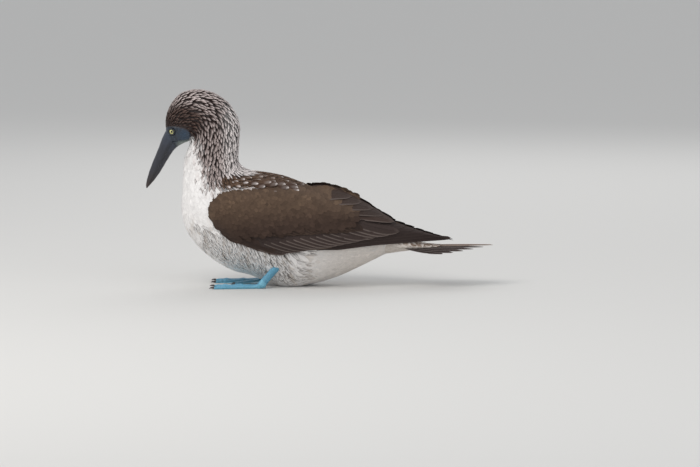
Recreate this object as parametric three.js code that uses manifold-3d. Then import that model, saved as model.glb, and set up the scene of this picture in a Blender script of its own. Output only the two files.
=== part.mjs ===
// A male blue-footed booby sitting on its belly with its head bowed, at life size.
// Millimetres. The bird faces -X, its left side is -Y and up is +Z. The origin is on the
// floor, in the middle of the small flat that the belly rests on.

import * as THREE from "three";
import { mergeVertices } from "three/addons/utils/BufferGeometryUtils.js";
import Module from "manifold-3d";

const wasm = await Module();
wasm.setup();

// Driving sizes
const GAP = 0.3; // kept between pieces that touch
const AROUND = 26; // points round a section of the body
const LEG_APART = 50; // from the midline to each leg
const TAIL_END = 345; // how far back the tail reaches
const WING_BACK = 277; // the tip of the folded wing

const VANE_THICK = 0.5;
const SHAFT_RIDGE = 0.25; // how far a feather's shaft stands up along its middle
const RISE = 1.4; // how soon a feather reaches its full height, over its length
const UNEVEN = 3; // how far the tips of a row stray

// The body from the root of the tail to the root of the bill, as lines across it from the
// belly or throat to the back or crown, with half the width there.
const BODY = [
  { back: [162, 98], belly: [162, 54], half: 22 },
  { back: [128, 118], belly: [128, 37], half: 40 },
  { back: [82, 146], belly: [85, 17], half: 56 },
  { back: [36, 168], belly: [38, 2], half: 66 },
  { back: [-8, 185], belly: [0, -6], half: 70 },
  { back: [-45, 192.5], belly: [-38, 6], half: 71 },
  { back: [-63, 195], belly: [-66, 17.5], half: 70.5 },
  { back: [-74, 198], belly: [-98, 26], half: 69 },
  { back: [-81, 202], belly: [-130, 44], half: 65 },
  { back: [-86, 208], belly: [-159, 70], half: 58 },
  { back: [-88, 217], belly: [-177, 97], half: 50 },
  { back: [-87.5, 229], belly: [-184, 128], half: 43.5 },
  { back: [-86.5, 246], belly: [-182.5, 160], half: 38 },
  { back: [-85, 264], belly: [-181.5, 190], half: 34.5 },
  { back: [-87, 281], belly: [-179, 216], half: 33 },
  { back: [-93, 294.5], belly: [-173.5, 232], half: 33 },
  { back: [-104, 309.5], belly: [-169.5, 241], half: 33 },
  { back: [-121, 323], belly: [-170, 245], half: 32.5 },
  { back: [-143, 332], belly: [-172, 245.5], half: 31.5 },
  { back: [-165, 332.5], belly: [-175.5, 244.5], half: 30 },
  { back: [-184, 326.5], belly: [-179.5, 243], half: 28 },
  { back: [-198, 313.5], belly: [-183, 241.3], half: 25.5 },
  { back: [-207, 296], belly: [-186.5, 239.5], half: 22 },
  { back: [-210.3, 280], belly: [-189.5, 237.3], half: 18 },
  { back: [-210, 264.4], belly: [-192.5, 235], half: 14 },
];
const NECK_ROOT = 9.5; // where the neck leaves the torso, counted along BODY
const HEAD_ROOT = 14.5;
const FACE_START = 18; // the crown, ahead of which the face begins
const BILL_ROOT = BODY.length - 1;
const LOW_FULLNESS = 1.85; // 2 is an ellipse, less is more pointed towards the belly
const HIGH_FULLNESS = 2.2;

// A smooth curve through [place, value] pairs, level beyond its ends.
function through(pairs) {
  const last = pairs.length - 1;
  const slope = (k) => {
    const [xa, ya] = pairs[Math.max(k - 1, 0)];
    const [xb, yb] = pairs[Math.min(k + 1, last)];
    return (yb - ya) / (xb - xa);
  };
  return (x) => {
    if (x <= pairs[0][0]) return pairs[0][1];
    if (x >= pairs[last][0]) return pairs[last][1];
    const i = pairs.findIndex((p) => p[0] > x) - 1;
    const [x0, y0] = pairs[i];
    const [x1, y1] = pairs[i + 1];
    const h = x1 - x0;
    const t = (x - x0) / h;
    const rise = t * t * (3 - 2 * t);
    const turn = t * (1 - t);
    return y0 + (y1 - y0) * rise + h * turn * ((1 - t) * slope(i) - t * slope(i + 1));
  };
}

const bodyCurves = ["back", "belly"].map((side) =>
  [0, 1].map((axis) => through(BODY.map((s, i) => [i, s[side][axis]]))),
);
const bodyHalf = through(BODY.map((s, i) => [i, s.half]));

// The section at a place along BODY: its ends in the midline as [x, z], and half its width.
function section(t) {
  const [back, belly] = bodyCurves.map((pair) => pair.map((f) => f(t)));
  return { back, belly, half: bodyHalf(t) };
}

// A point of the body's skin at a place along it, an angle round it (0 at the left side,
// a quarter turn at the back) and a height above the skin.
function bodyPoint(t, angle, lift = 0) {
  const { back, belly, half } = section(t);
  const dx = back[0] - belly[0];
  const dz = back[1] - belly[1];
  const length = Math.hypot(dx, dz);
  const fullness = Math.sin(angle) > 0 ? HIGH_FULLNESS : LOW_FULLNESS;
  const power = (v) => Math.sign(v) * Math.abs(v) ** (2 / fullness);
  const up = (power(Math.sin(angle)) * (length / 2 + lift)) / length;
  return new THREE.Vector3(
    (back[0] + belly[0]) / 2 + dx * up,
    -power(Math.cos(angle)) * (half + lift),
    (back[1] + belly[1]) / 2 + dz * up,
  );
}

// Where a place seen from the side lies against the section at t: how far it is off that
// section's line, and half the width of the body there.
function against(t, x, z) {
  const { back, belly, half } = section(t);
  const dx = back[0] - belly[0];
  const dz = back[1] - belly[1];
  const off = (dx * (z - belly[1]) - dz * (x - belly[0])) / Math.hypot(dx, dz);
  const out = (2 * ((x - belly[0]) * dx + (z - belly[1]) * dz)) / (dx * dx + dz * dz) - 1;
  const fullness = out > 0 ? HIGH_FULLNESS : LOW_FULLNESS;
  const width = half * Math.max(0, 1 - Math.abs(out) ** fullness) ** (1 / fullness);
  return { off, width };
}

// Half the width of the torso or neck at a place seen from the side, or 0 outside it.
function flank(x, z) {
  const halvings = 30;
  let [low, high] = [0, HEAD_ROOT];
  if (against(low, x, z).off < 0) return 0;
  for (let i = 0; i < halvings; i++) {
    const middle = (low + high) / 2;
    if (against(middle, x, z).off > 0) low = middle;
    else high = middle;
  }
  return against(low, x, z).width;
}

// A closed skin over rings of points that all have the same number, with flat ends.
function loft(rings) {
  const n = rings[0].length;
  const points = rings.flat();
  const faces = [];
  for (let r = 0; r + 1 < rings.length; r++) {
    for (let k = 0; k < n; k++) {
      const a = r * n + k;
      const b = r * n + ((k + 1) % n);
      faces.push(a, b, a + n, b, b + n, a + n);
    }
  }
  [0, rings.length - 1].forEach((r, end) => {
    const middle = new THREE.Vector3();
    rings[r].forEach((p) => middle.addScaledVector(p, 1 / n));
    points.push(middle);
    for (let k = 0; k < n; k++) {
      const a = r * n + k;
      const b = r * n + ((k + 1) % n);
      faces.push(...(end ? [a, b, points.length - 1] : [b, a, points.length - 1]));
    }
  });
  const geometry = new THREE.BufferGeometry().setFromPoints(points);
  return geometry.setIndex(faces);
}

// A geometry as a solid that can be joined and cut, turned the right way out.
function solid(geometry) {
  const bare = new THREE.BufferGeometry();
  bare.setAttribute("position", geometry.getAttribute("position"));
  bare.setIndex(geometry.index);
  const merged = mergeVertices(bare, 1e-4);
  const triVerts = new Uint32Array(merged.index.array);
  const vertProperties = merged.attributes.position.array;
  const made = () => new wasm.Manifold(new wasm.Mesh({ numProp: 3, vertProperties, triVerts }));
  if (made().volume() < 0) triVerts.reverse();
  return made();
}

// A fixed run of numbers between 0 and 1.
const SEED_STEP = 48271;
const SEED_RANGE = 2147483647;
let seed = 20771;
function random() {
  seed = (seed * SEED_STEP) % SEED_RANGE;
  return seed / SEED_RANGE;
}

const joined = (parts) => parts.reduce((whole, part) => whole.add(part));

// The largest closed body of a solid.
function largest(whole) {
  const bodies = whole.decompose();
  return bodies.reduce((best, body) => (body.volume() > best.volume() ? body : best));
}

// A box between two corners.
function block(low, high) {
  const size = low.map((v, i) => high[i] - v);
  const box = new THREE.BoxGeometry(...size);
  box.translate(...low.map((v, i) => v + size[i] / 2));
  return solid(box);
}

const belowFloor = block([-400, -200, -60], [400, 200, 0]);

// A tube along a path of points, with a half width and a half height at each.
function tube(path, widths, heights, sides = 10) {
  const up = new THREE.Vector3(0, 0, 1);
  const rings = path.map((p, i) => {
    const along = path[Math.min(i + 1, path.length - 1)]
      .clone()
      .sub(path[Math.max(i - 1, 0)])
      .normalize();
    const across = new THREE.Vector3().crossVectors(along, up).normalize();
    const rise = new THREE.Vector3().crossVectors(across, along);
    return Array.from({ length: sides }, (_, k) => {
      const angle = (2 * Math.PI * k) / sides;
      return p
        .clone()
        .addScaledVector(across, Math.cos(angle) * widths[i])
        .addScaledVector(rise, Math.sin(angle) * heights[i]);
    });
  });
  return loft(rings);
}

// The body between two places along it, each end drawn in by half the gap.
function bodyLength(from, to, steps, lift = 0) {
  const rings = [];
  for (let i = 0; i <= steps; i++) {
    const t = from + ((to - from) * i) / steps;
    const { back, belly } = section(t);
    const across = new THREE.Vector3(back[1] - belly[1], 0, belly[0] - back[0]).normalize();
    const drawn = i === 0 ? -GAP / 2 : i === steps ? GAP / 2 : 0;
    rings.push(
      Array.from({ length: AROUND }, (_, k) =>
        bodyPoint(t, (2 * Math.PI * k) / AROUND, lift).addScaledVector(across, drawn),
      ),
    );
  }
  return solid(loft(rings));
}

// The wing as it lies folded, seen from the side: its upper and lower edge along X, and how
// far out from the midline it stands at its upper edge, its middle and its lower edge where
// it has left the body behind.
const wingTop = through([
  [-138, 133.5],
  [-136.5, 143],
  [-132.5, 150.5],
  [-122, 160],
  [-110, 165],
  [-85, 168],
  [-47, 170],
  [-8, 171.5],
  [29, 172],
  [68, 169],
  [102, 156],
  [144, 134],
  [187, 115],
  [230, 99],
  [263, 88],
  [277, 83],
]);
const wingFoot = through([
  [-138, 132.5],
  [-136.5, 124],
  [-132.5, 118.5],
  [-122, 106],
  [-110, 93],
  [-85, 76],
  [-47, 64.5],
  [-8, 59],
  [29, 56.5],
  [68, 61.5],
  [102, 69],
  [144, 73.5],
  [187, 76],
  [230, 78],
  [263, 80],
  [277, 82],
]);
const rearSpread = [
  through([[0, -40], [30, 24], [60, 22], [102, 17], [144, 12], [187, 9.5], [230, 8], [277, 8]]),
  through([[0, -40], [30, 66], [60, 70], [102, 61], [144, 47], [187, 34], [230, 22], [277, 10]]),
  through([[0, -40], [30, 50], [60, 64], [102, 58], [144, 45], [187, 33], [230, 22.5], [277, 12]]),
];
const WING_PROUD = 3; // how far the edges of the wing stand out from the body
const WING_BULGE = 7; // how much further its middle does
const FREE_START = 0; // where the wing can first stand away from the body
const WING_BLEND = 12; // how softly it does so
const wingDepth = through([[-138, 9], [-110, 12], [40, 12], [110, 5], [150, 3]]);
const coreShave = through([[-138, 0.6], [-110, 3], [-60, 5], [60, 5], [150, 3]]);
const coreInset = through([[-138, 0.3], [-120, 3], [-60, 6], [60, 7], [150, 6]]);
const CORE_BACK = 150; // where the body of the wing ends inside its feathers
const bulge = through([[-138, 0], [-130, 0.6], [-112, 1]]);

// How far out from the midline the wing's outer face is, at a place seen from the side.
function wingOut(x, z) {
  const top = wingTop(x);
  const foot = wingFoot(x);
  const v = THREE.MathUtils.clamp((2 * (z - foot)) / (top - foot) - 1, -1, 1);
  const round = 1 - Math.abs(v) ** 3;
  const hugging = flank(x, z) + WING_PROUD + WING_BULGE * bulge(x) * round;
  if (x < FREE_START) return hugging;
  const [high, middle, low] = rearSpread.map((f) => f(x));
  const free = middle + (v > 0 ? high - middle : low - middle) * v * v;
  const apart = hugging - free;
  return (hugging + free + Math.sqrt(apart * apart + WING_BLEND * WING_BLEND)) / 2;
}

// A point above the left wing's outer face, from a place seen from the side.
function wingPoint(x, z, lift = 0) {
  const step = 0.5;
  const out = (a, b) => new THREE.Vector3(a, -wingOut(a, b), b);
  const along = out(x + step, z).sub(out(x - step, z));
  const upward = out(x, z + step).sub(out(x, z - step));
  const outward = new THREE.Vector3().crossVectors(along, upward).normalize();
  return out(x, z).addScaledVector(outward, lift);
}

// The smooth body of the left wing, which its feathers cover and grow from.
function wingCore() {
  const places = [-137, -131, -118, -95, -60, -20, 20, 60, 100, CORE_BACK];
  const across = 6;
  const rings = places.map((x) => {
    const outer = [];
    const inner = [];
    const reach = (wingTop(x) - wingFoot(x)) / 2 - coreInset(x);
    for (let k = 0; k <= across; k++) {
      const v = Math.cos((Math.PI * k) / across);
      const z = (wingTop(x) + wingFoot(x)) / 2 + v * reach;
      const depth = wingDepth(x) * (0.5 + 0.5 * Math.sqrt(Math.max(0, 1 - v * v)));
      outer.push(wingPoint(x, z, -coreShave(x)));
      inner.unshift(wingPoint(x, z, -coreShave(x) - depth).setX(x));
    }
    return [...outer, ...inner];
  });
  return solid(loft(rings));
}

// One feather as a thin tapered blade on a surface: its shaft runs from root to tip and
// bows to the side. Its root is sunk to the depth base and it rises to the height lift, so
// that rows lie like shingles. It is rolled about its shaft, so that one edge lies over the
// next feather and the other edge under the one before.
const BLADE = [
  [0, 0.6],
  [0.2, 0.9],
  [0.45, 1],
  [0.7, 0.96],
  [0.9, 0.6],
  [1, 0.12],
];
const SHORT_BLADE = [
  [0, 0.7],
  [0.4, 1],
  [0.78, 0.88],
  [1, 0.2],
];

function vane(on, spec) {
  const { root, tip, half, lift, base, roll, bow = 0, blade = SHORT_BLADE } = spec;
  const [dx, dz] = [tip[0] - root[0], tip[1] - root[1]];
  const length = Math.hypot(dx, dz);
  const [nx, nz] = [-dz / length, dx / length];
  const upper = [];
  const lower = [];
  blade.forEach(([u, width]) => {
    const sag = bow * 4 * u * (1 - u);
    const height = base + (lift - base) * Math.min(1, RISE * u);
    [-1, 0, 1].forEach((v) => {
      const off = sag + v * width * half;
      const x = root[0] + dx * u + nx * off;
      const z = root[1] + dz * u + nz * off;
      const top = height - roll * v * width + (v ? 0 : SHAFT_RIDGE);
      upper.push(on(x, z, top));
      lower.push(on(x, z, top - VANE_THICK - (v ? 0 : SHAFT_RIDGE)));
    });
  });
  const count = upper.length;
  const rows = blade.length;
  const faces = [];
  for (let r = 0; r + 1 < rows; r++) {
    for (let c = 0; c < 2; c++) {
      const a = r * 3 + c;
      const quad = [a, a + 1, a + 3, a + 1, a + 4, a + 3];
      faces.push(...quad);
      faces.push(...[0, 2, 1, 3, 5, 4].map((k) => quad[k] + count));
    }
  }
  const rim = [0, 1, 2];
  for (let r = 1; r < rows; r++) rim.push(r * 3 + 2);
  rim.push((rows - 1) * 3 + 1, (rows - 1) * 3);
  for (let r = rows - 2; r > 0; r--) rim.push(r * 3);
  rim.forEach((a, i) => {
    const b = rim[(i + 1) % rim.length];
    faces.push(b, a, a + count, b, a + count, b + count);
  });
  const geometry = new THREE.BufferGeometry().setFromPoints([...upper, ...lower]);
  return solid(geometry.setIndex(faces));
}

// A row of feathers whose roots and tips step evenly from the first to the last.
function tier(on, { count, roots, tips, halves, bows = [0, 0], climb = 0, lift, ...rest }) {
  const between = ([a, b], share) => a + (b - a) * share;
  return Array.from({ length: count }, (_, i) => {
    const share = i / (count - 1);
    const along = (pairs) => [0, 1].map((k) => between([pairs[0][k], pairs[1][k]], share));
    const stray = () => UNEVEN * (random() - 0.5);
    return vane(on, {
      ...rest,
      root: along(roots),
      tip: along(tips).map((v) => v + stray()),
      half: between(halves, share),
      bow: between(bows, share),
      lift: lift + climb * i,
    });
  });
}

// The feathers of the left wing, from those next to the body of the wing outwards.
const PRIMARIES = 5;
function primaries() {
  return Array.from({ length: PRIMARIES }, (_, i) => {
    const x = WING_BACK - 25 * i;
    return vane(wingPoint, {
      root: [54 + 12 * i, 69 + 8.5 * i],
      tip: [x, wingTop(x) - 2 - 0.9 * i],
      half: 10 - 0.3 * i,
      lift: -4.4 + 1.2 * i,
      base: -6.5,
      bow: 8 - 2 * i,
      roll: 0.2,
      blade: BLADE,
    });
  });
}

const WING_TIERS = [
  // secondaries
  {
    count: 7,
    roots: [[-52, 106], [98, 140]],
    tips: [[10, 61], [178, 98]],
    halves: [12, 12],
    bows: [-4, -5],
    lift: -0.4,
    base: -7.5,
    roll: 1.5,
  },
  // primary coverts
  {
    count: 3,
    roots: [[-118, 110], [-82, 92]],
    tips: [[-68, 72], [-32, 64]],
    halves: [8.5, 9],
    bows: [-3, -4],
    lift: -0.8,
    base: -6.5,
    roll: 0.9,
  },
  // tertials
  {
    count: 3,
    roots: [[62, 140], [30, 160]],
    tips: [[162, 120], [110, 150]],
    halves: [11, 11],
    bows: [3, 3],
    lift: 1.2,
    base: -7,
    climb: 0.6,
    roll: 0.8,
  },
  // greater coverts
  {
    count: 6,
    roots: [[-88, 116], [64, 147]],
    tips: [[-40, 84], [106, 106]],
    halves: [12, 12],
    bows: [-2, -3],
    lift: 0.8,
    base: -7,
    roll: 1.1,
  },
  // median coverts
  {
    count: 6,
    roots: [[-110, 138], [46, 160]],
    tips: [[-72, 104], [84, 128]],
    halves: [13, 13],
    bows: [-2, -2],
    lift: 0.8,
    base: -7,
    roll: 1,
  },
  // lesser coverts
  {
    count: 4,
    roots: [[-126, 142], [14, 165]],
    tips: [[-96, 124], [52, 148]],
    halves: [13, 13],
    bows: [-1, -1],
    lift: 1,
    base: -6,
    roll: 0.9,
  },
];

const torsoWhole = bodyLength(0, NECK_ROOT, 16);
const torsoRoom = bodyLength(-0.02, NECK_ROOT + 0.3, 20, GAP);

// Legs and feet. The toes are counted from the inner hind toe, as on the bird, and each has
// its length and its angle inwards from straight ahead.
const HEEL = new THREE.Vector3(-47, -LEG_APART, 7.5); // the joint where the toes meet
const ANKLE = new THREE.Vector3(-13, -LEG_APART, 46.5);
const TOES = [
  { length: 27, angle: 98, girth: 2.6 },
  { length: 62, angle: 40, girth: 3.3 },
  { length: 84, angle: 15, girth: 3.8 },
  { length: 82, angle: -8, girth: 3.6 },
];
const CLAW = 8;
const WEB_THICK = 1.4;
const LEG_DEEP = 6.6; // half the leg, front to back
const LEG_WIDE = 4.2; // half the leg, side to side

function toeEnd({ length, angle }, share = 1) {
  const turn = THREE.MathUtils.degToRad(angle);
  return new THREE.Vector3(
    HEEL.x - Math.cos(turn) * length * share,
    HEEL.y + Math.sin(turn) * length * share,
    0,
  );
}

function toe(spec) {
  const shares = [0, 0.34, 0.42, 0.5, 0.7, 0.77, 0.84, 0.97, 1];
  const thick = [1.2, 0.85, 1, 0.82, 0.74, 0.9, 0.7, 0.6, 0.3];
  const path = shares.map((s, i) => toeEnd(spec, s).setZ(spec.girth * thick[i] * 0.9));
  const sizes = thick.map((s) => s * spec.girth);
  return solid(tube(path, sizes, sizes, 6));
}

// The web between the toes, with its free edges drawn in between the tips.
function web() {
  const tips = TOES.map((t) => toeEnd(t, 0.985));
  const shape = new THREE.Shape();
  shape.moveTo(HEEL.x + 4, HEEL.y - 1);
  shape.lineTo(tips[0].x, tips[0].y);
  for (let i = 1; i < tips.length; i++) {
    const middle = tips[i - 1].clone().add(tips[i]).multiplyScalar(0.5);
    const bend = middle.lerp(HEEL, 0.2);
    shape.quadraticCurveTo(bend.x, bend.y, tips[i].x, tips[i].y);
  }
  const sheet = new THREE.ExtrudeGeometry(shape, {
    depth: WEB_THICK,
    bevelEnabled: false,
    curveSegments: 4,
  });
  return solid(sheet);
}

const legAxis = ANKLE.clone().sub(HEEL).normalize();
const legAt = (share) => HEEL.clone().lerp(ANKLE, share);
const LEG_START = 0.17; // where the leg leaves the foot, as a share of its length

function leg(grow = 0, from = LEG_START) {
  const shares = [from, 0.35, 0.6, 0.85, 1];
  const deep = [0.98, 0.92, 0.95, 1.08, 1.2].map((s) => s * LEG_DEEP + grow);
  const wide = [1.15, 0.95, 0.95, 1.05, 1.15].map((s) => s * LEG_WIDE + grow);
  const path = shares.map((s) => legAt(s));
  return solid(tube(path, wide, deep, 12));
}

function foot() {
  const knob = new THREE.SphereGeometry(6.6, 10, 7);
  knob.scale(1.15, 0.95, 1);
  knob.translate(HEEL.x, HEEL.y, HEEL.z - 0.8);
  const stub = tube(
    [legAt(-0.02), legAt(LEG_START).addScaledVector(legAxis, -GAP)],
    [5, LEG_WIDE * 1.15],
    [6.2, LEG_DEEP * 0.98],
    12,
  );
  const pieces = [web(), ...TOES.map(toe), solid(knob), solid(stub)];
  return largest(joined(pieces).subtract(belowFloor));
}

// A claw that curves down from the end of its toe, just clear of the floor.
function claw(spec) {
  const start = toeEnd(spec).setZ(spec.girth * 0.62);
  const turn = THREE.MathUtils.degToRad(spec.angle);
  const ahead = new THREE.Vector3(-Math.cos(turn), Math.sin(turn), 0);
  const size = CLAW * (spec.girth / 3.8);
  const path = [0, 0.3, 0.65, 0.9, 1].map((s) =>
    start
      .clone()
      .addScaledVector(ahead, GAP + s * size)
      .setZ(start.z + 0.9 * Math.sin(Math.PI * s * 0.8) - 1.1 * s * s),
  );
  const sizes = [0.5, 0.48, 0.33, 0.16, 0.05].map((s) => s * spec.girth);
  return solid(tube(path, sizes, sizes, 6));
}

// The bill: its ridge and its lower edge from root to tip, and half its width.
const BILL = [
  { ridge: [-210, 264.4], edge: [-192.5, 235], half: 14 },
  { ridge: [-215.9, 252.5], edge: [-198.5, 228.5], half: 12 },
  { ridge: [-223.9, 231.7], edge: [-205.5, 217.8], half: 10.4 },
  { ridge: [-231.5, 213.4], edge: [-212.8, 205.8], half: 9 },
  { ridge: [-238, 196.4], edge: [-220.5, 193], half: 7.4 },
  { ridge: [-242.6, 181], edge: [-230, 180], half: 5.4 },
  { ridge: [-244.3, 171.5], edge: [-237.5, 171.5], half: 3.2 },
  { ridge: [-243.9, 166], edge: [-242.3, 166.2], half: 1 },
];
const MOUTH = 0.65; // how far down the side of the bill its mouth line runs
const GAPE_CORNER = [-170.5, 249.5]; // where the mouth line ends, below and behind the eye
const MOUTH_SLIT = 0.5;

const billCurves = ["ridge", "edge"].map((side) =>
  [0, 1].map((axis) => through(BILL.map((s, i) => [i, s[side][axis]]))),
);
const billHalf = through(BILL.map((s, i) => [i, s.half]));

function billSection(t) {
  const [ridge, edge] = billCurves.map(([fx, fz]) => new THREE.Vector3(fx(t), 0, fz(t)));
  return { ridge, edge, half: billHalf(t), mouth: ridge.clone().lerp(edge, MOUTH) };
}

// One half of the bill: round along the ridge or the lower edge, flat along the mouth.
function mandible(upper) {
  const arc = 10;
  const steps = 14;
  const last = BILL.length - 1;
  const rings = [];
  for (let i = 0; i <= steps; i++) {
    const t = (last * i) / steps;
    const { ridge, edge, half, mouth } = billSection(t);
    const outer = upper ? ridge : edge;
    const ahead = new THREE.Vector3(ridge.z - edge.z, 0, edge.x - ridge.x).normalize();
    const start = mouth.clone().lerp(outer, MOUTH_SLIT / 2 / mouth.distanceTo(outer));
    const reach = outer.clone().sub(start);
    const fullest = upper ? 1 : 0.94;
    rings.push(
      Array.from({ length: arc + 1 }, (_, k) => {
        const angle = (Math.PI * k) / arc;
        const p = start.clone().addScaledVector(reach, Math.sin(angle) ** 0.8);
        p.y = -Math.cos(angle) * half * fullest;
        return p.addScaledVector(ahead, i === 0 ? -GAP / 2 : 0);
      }),
    );
  }
  return solid(loft(rings));
}

// The eye, set into the side of the head behind its bare lids.
const EYE_SPOT = new THREE.Vector3(-200.3, 0, 263.2);
const EYE_RADIUS = 7;
const EYE_PROUD = 1.3; // how far the eye stands out from the face
const LID_OPENING = 5.5;
const LID_THICK = 1.5;

function eyeFrame() {
  const step = 0.4;
  const surface = (a, b) => new THREE.Vector3(a, -headFlank(a, b), b);
  const { x, z } = EYE_SPOT;
  const along = surface(x + step, z).sub(surface(x - step, z));
  const upward = surface(x, z + step).sub(surface(x, z - step));
  const outward = new THREE.Vector3().crossVectors(along, upward).normalize();
  return { spot: surface(x, z), outward };
}

// Half the width of the head at a place seen from the side.
function headFlank(x, z) {
  const step = 0.01;
  let best = against(FACE_START, x, z);
  for (let t = FACE_START; t <= BILL_ROOT; t += step) {
    const here = against(t, x, z);
    if (Math.abs(here.off) < Math.abs(best.off)) best = here;
  }
  return best.width;
}

function eyeball(grow = 0) {
  const { spot, outward } = eyeFrame();
  const ball = new THREE.SphereGeometry(EYE_RADIUS + grow, 14, 10);
  ball.rotateX(Math.PI / 2);
  ball.translate(...spot.clone().addScaledVector(outward, EYE_PROUD - EYE_RADIUS));
  return solid(ball);
}

function lids() {
  const { spot, outward } = eyeFrame();
  const ring = new THREE.TorusGeometry(LID_OPENING + LID_THICK * 0.6, LID_THICK, 5, 14);
  ring.lookAt(outward);
  ring.translate(...spot.clone().addScaledVector(outward, -0.2));
  return solid(ring);
}

// A box cut along the mouth line from the bill back to the corner of the gape.
function gapeSlit() {
  const root = billSection(0).mouth;
  const corner = new THREE.Vector3(GAPE_CORNER[0], 0, GAPE_CORNER[1]);
  const reach = corner.distanceTo(root);
  const slit = new THREE.BoxGeometry(reach + 4, 80, MOUTH_SLIT);
  slit.translate((reach + 4) / 2 - 4, 0, 0);
  slit.rotateY(-Math.atan2(corner.z - root.z, corner.x - root.x));
  slit.translate(root.x, 0, root.z);
  return solid(slit);
}

function mirroredSolid(geometry) {
  const copy = geometry.clone();
  copy.scale(1, -1, 1);
  const index = copy.index.array;
  for (let i = 0; i < index.length; i += 3) {
    [index[i + 1], index[i + 2]] = [index[i + 2], index[i + 1]];
  }
  return copy;
}

function geometryOf(whole) {
  const { numProp, vertProperties, triVerts } = whole.getMesh();
  const points = [];
  for (let i = 0; i < vertProperties.length; i += numProp) {
    points.push(new THREE.Vector3(...vertProperties.slice(i, i + 3)));
  }
  const geometry = new THREE.BufferGeometry().setFromPoints(points);
  return geometry.setIndex(Array.from(triVerts));
}

// Colours and surfaces
const finish = (color, roughness) =>
  new THREE.MeshStandardMaterial({ color, roughness, metalness: 0 });
const WHITE = finish(0xd8d3cf, 0.9);
const STREAKED = finish(0x8a7d78, 0.9);
const BROWN = finish(0x4d4039, 0.8);
const GREY_BROWN = finish(0x6a5d55, 0.8);
const BILL_GREY = finish(0x4a4f5c, 0.45);
const BLUE = finish(0x64b4d4, 0.5);
const IRIS = finish(0xd9d79c, 0.15);
const HORN = finish(0x8f9494, 0.5);

const booby = new THREE.Group();

function add(name, whole, material) {
  const mesh = new THREE.Mesh(geometryOf(whole), material);
  mesh.name = name;
  booby.add(mesh);
  return mesh;
}

// A left piece under its own name and its mirror image on the right.
function addPair(name, whole, material) {
  const left = add(`${name}_left`, whole, material);
  const right = new THREE.Mesh(mirroredSolid(left.geometry), material);
  right.name = `${name}_right`;
  booby.add(right);
}

const legRoom = leg(GAP, 0.3);
const legRoomRight = solid(mirroredSolid(geometryOf(legRoom)));
const torso = torsoWhole.subtract(belowFloor).subtract(legRoom).subtract(legRoomRight);
add("torso", largest(torso), WHITE);
add("neck", bodyLength(NECK_ROOT, HEAD_ROOT, 8), STREAKED);

const eye = eyeball();
const headWhole = bodyLength(HEAD_ROOT, BILL_ROOT, 13).subtract(gapeSlit());
const lid = lids();
const lidRight = solid(mirroredSolid(geometryOf(lid)));
const socket = eyeball(GAP);
const socketRight = solid(mirroredSolid(geometryOf(socket)));
const head = joined([headWhole, lid, lidRight]).subtract(socket).subtract(socketRight);
add("head", largest(head), STREAKED);
addPair("eye", eye, IRIS);
add("bill_upper", mandible(true), BILL_GREY);
add("bill_lower", mandible(false), BILL_GREY);

const feathers = [...primaries(), ...WING_TIERS.flatMap((spec) => tier(wingPoint, spec))];
const wing = joined([wingCore().subtract(torsoRoom), ...feathers]).subtract(torsoRoom);
addPair("wing", largest(wing), BROWN);

// The tail: a short root that carries a fan of feathers, the middle pair on top.
const TAIL_ROOT = 162;
const TAIL_PAIRS = 6;
const RECTRIX_ROOT = 205; // where the long tail feathers start
const tailLevel = through([[162, 76], [190, 71], [225, 67.8], [345, 68]]);

function tailPoint(x, y, lift) {
  return new THREE.Vector3(x, y, tailLevel(x) - 0.0016 * y * y + lift);
}

function tailCore() {
  const half = through([[162, 22], [190, 26], [225, 25], [245, 20]]);
  const thick = through([[162, 21], [190, 12], [215, 6], [245, 2]]);
  const places = [TAIL_ROOT + GAP / 2, 172, 185, 200, 220, 245];
  const rings = places.map((x) =>
    Array.from({ length: 16 }, (_, k) => {
      const angle = (2 * Math.PI * k) / 16;
      return new THREE.Vector3(
        x,
        -Math.cos(angle) * half(x),
        tailLevel(x) + Math.sin(angle) * thick(x),
      );
    }),
  );
  return solid(loft(rings));
}

function tailFeather(i, side) {
  const turn = side * THREE.MathUtils.degToRad(1.6 + 4.4 * i);
  const length = (TAIL_END - RECTRIX_ROOT) * (1 - 0.115 * i) - (side > 0 ? 3 : 0);
  const root = [RECTRIX_ROOT, side * (3 + 3 * i)];
  return vane(tailPoint, {
    root,
    tip: [root[0] + Math.cos(turn) * length, root[1] + Math.sin(turn) * length],
    half: 10.5,
    lift: 2 - 1.5 * i - (side > 0 ? 0.75 : 0),
    base: 1 - 0.9 * i,
    roll: side * 0.3,
    blade: BLADE,
  });
}

const TAIL_COVERTS = [
  { count: 4, roots: [[178, -15], [178, 15]], tips: [[232, -16], [232, 16]], lift: 4, base: 6 },
  { count: 3, roots: [[172, -10], [172, 10]], tips: [[214, -11], [214, 11]], lift: 9, base: 9 },
  { count: 3, roots: [[178, -12], [178, 12]], tips: [[250, -12], [250, 12]], lift: -8, base: -5 },
];
const rectrices = [];
for (let i = TAIL_PAIRS - 1; i >= 0; i--) rectrices.push(tailFeather(i, -1), tailFeather(i, 1));
const tailCoverts = TAIL_COVERTS.flatMap((spec) =>
  tier(tailPoint, { halves: [9, 9], roll: 0.9, ...spec }),
);
add("tail", largest(joined([tailCore(), ...rectrices, ...tailCoverts])), GREY_BROWN);

addPair("leg", leg(), BLUE);
addPair("foot", foot(), BLUE);
TOES.forEach((spec, i) => addPair(`claw_${i + 1}`, claw(spec), HORN));

export default booby;
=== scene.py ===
import math

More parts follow.
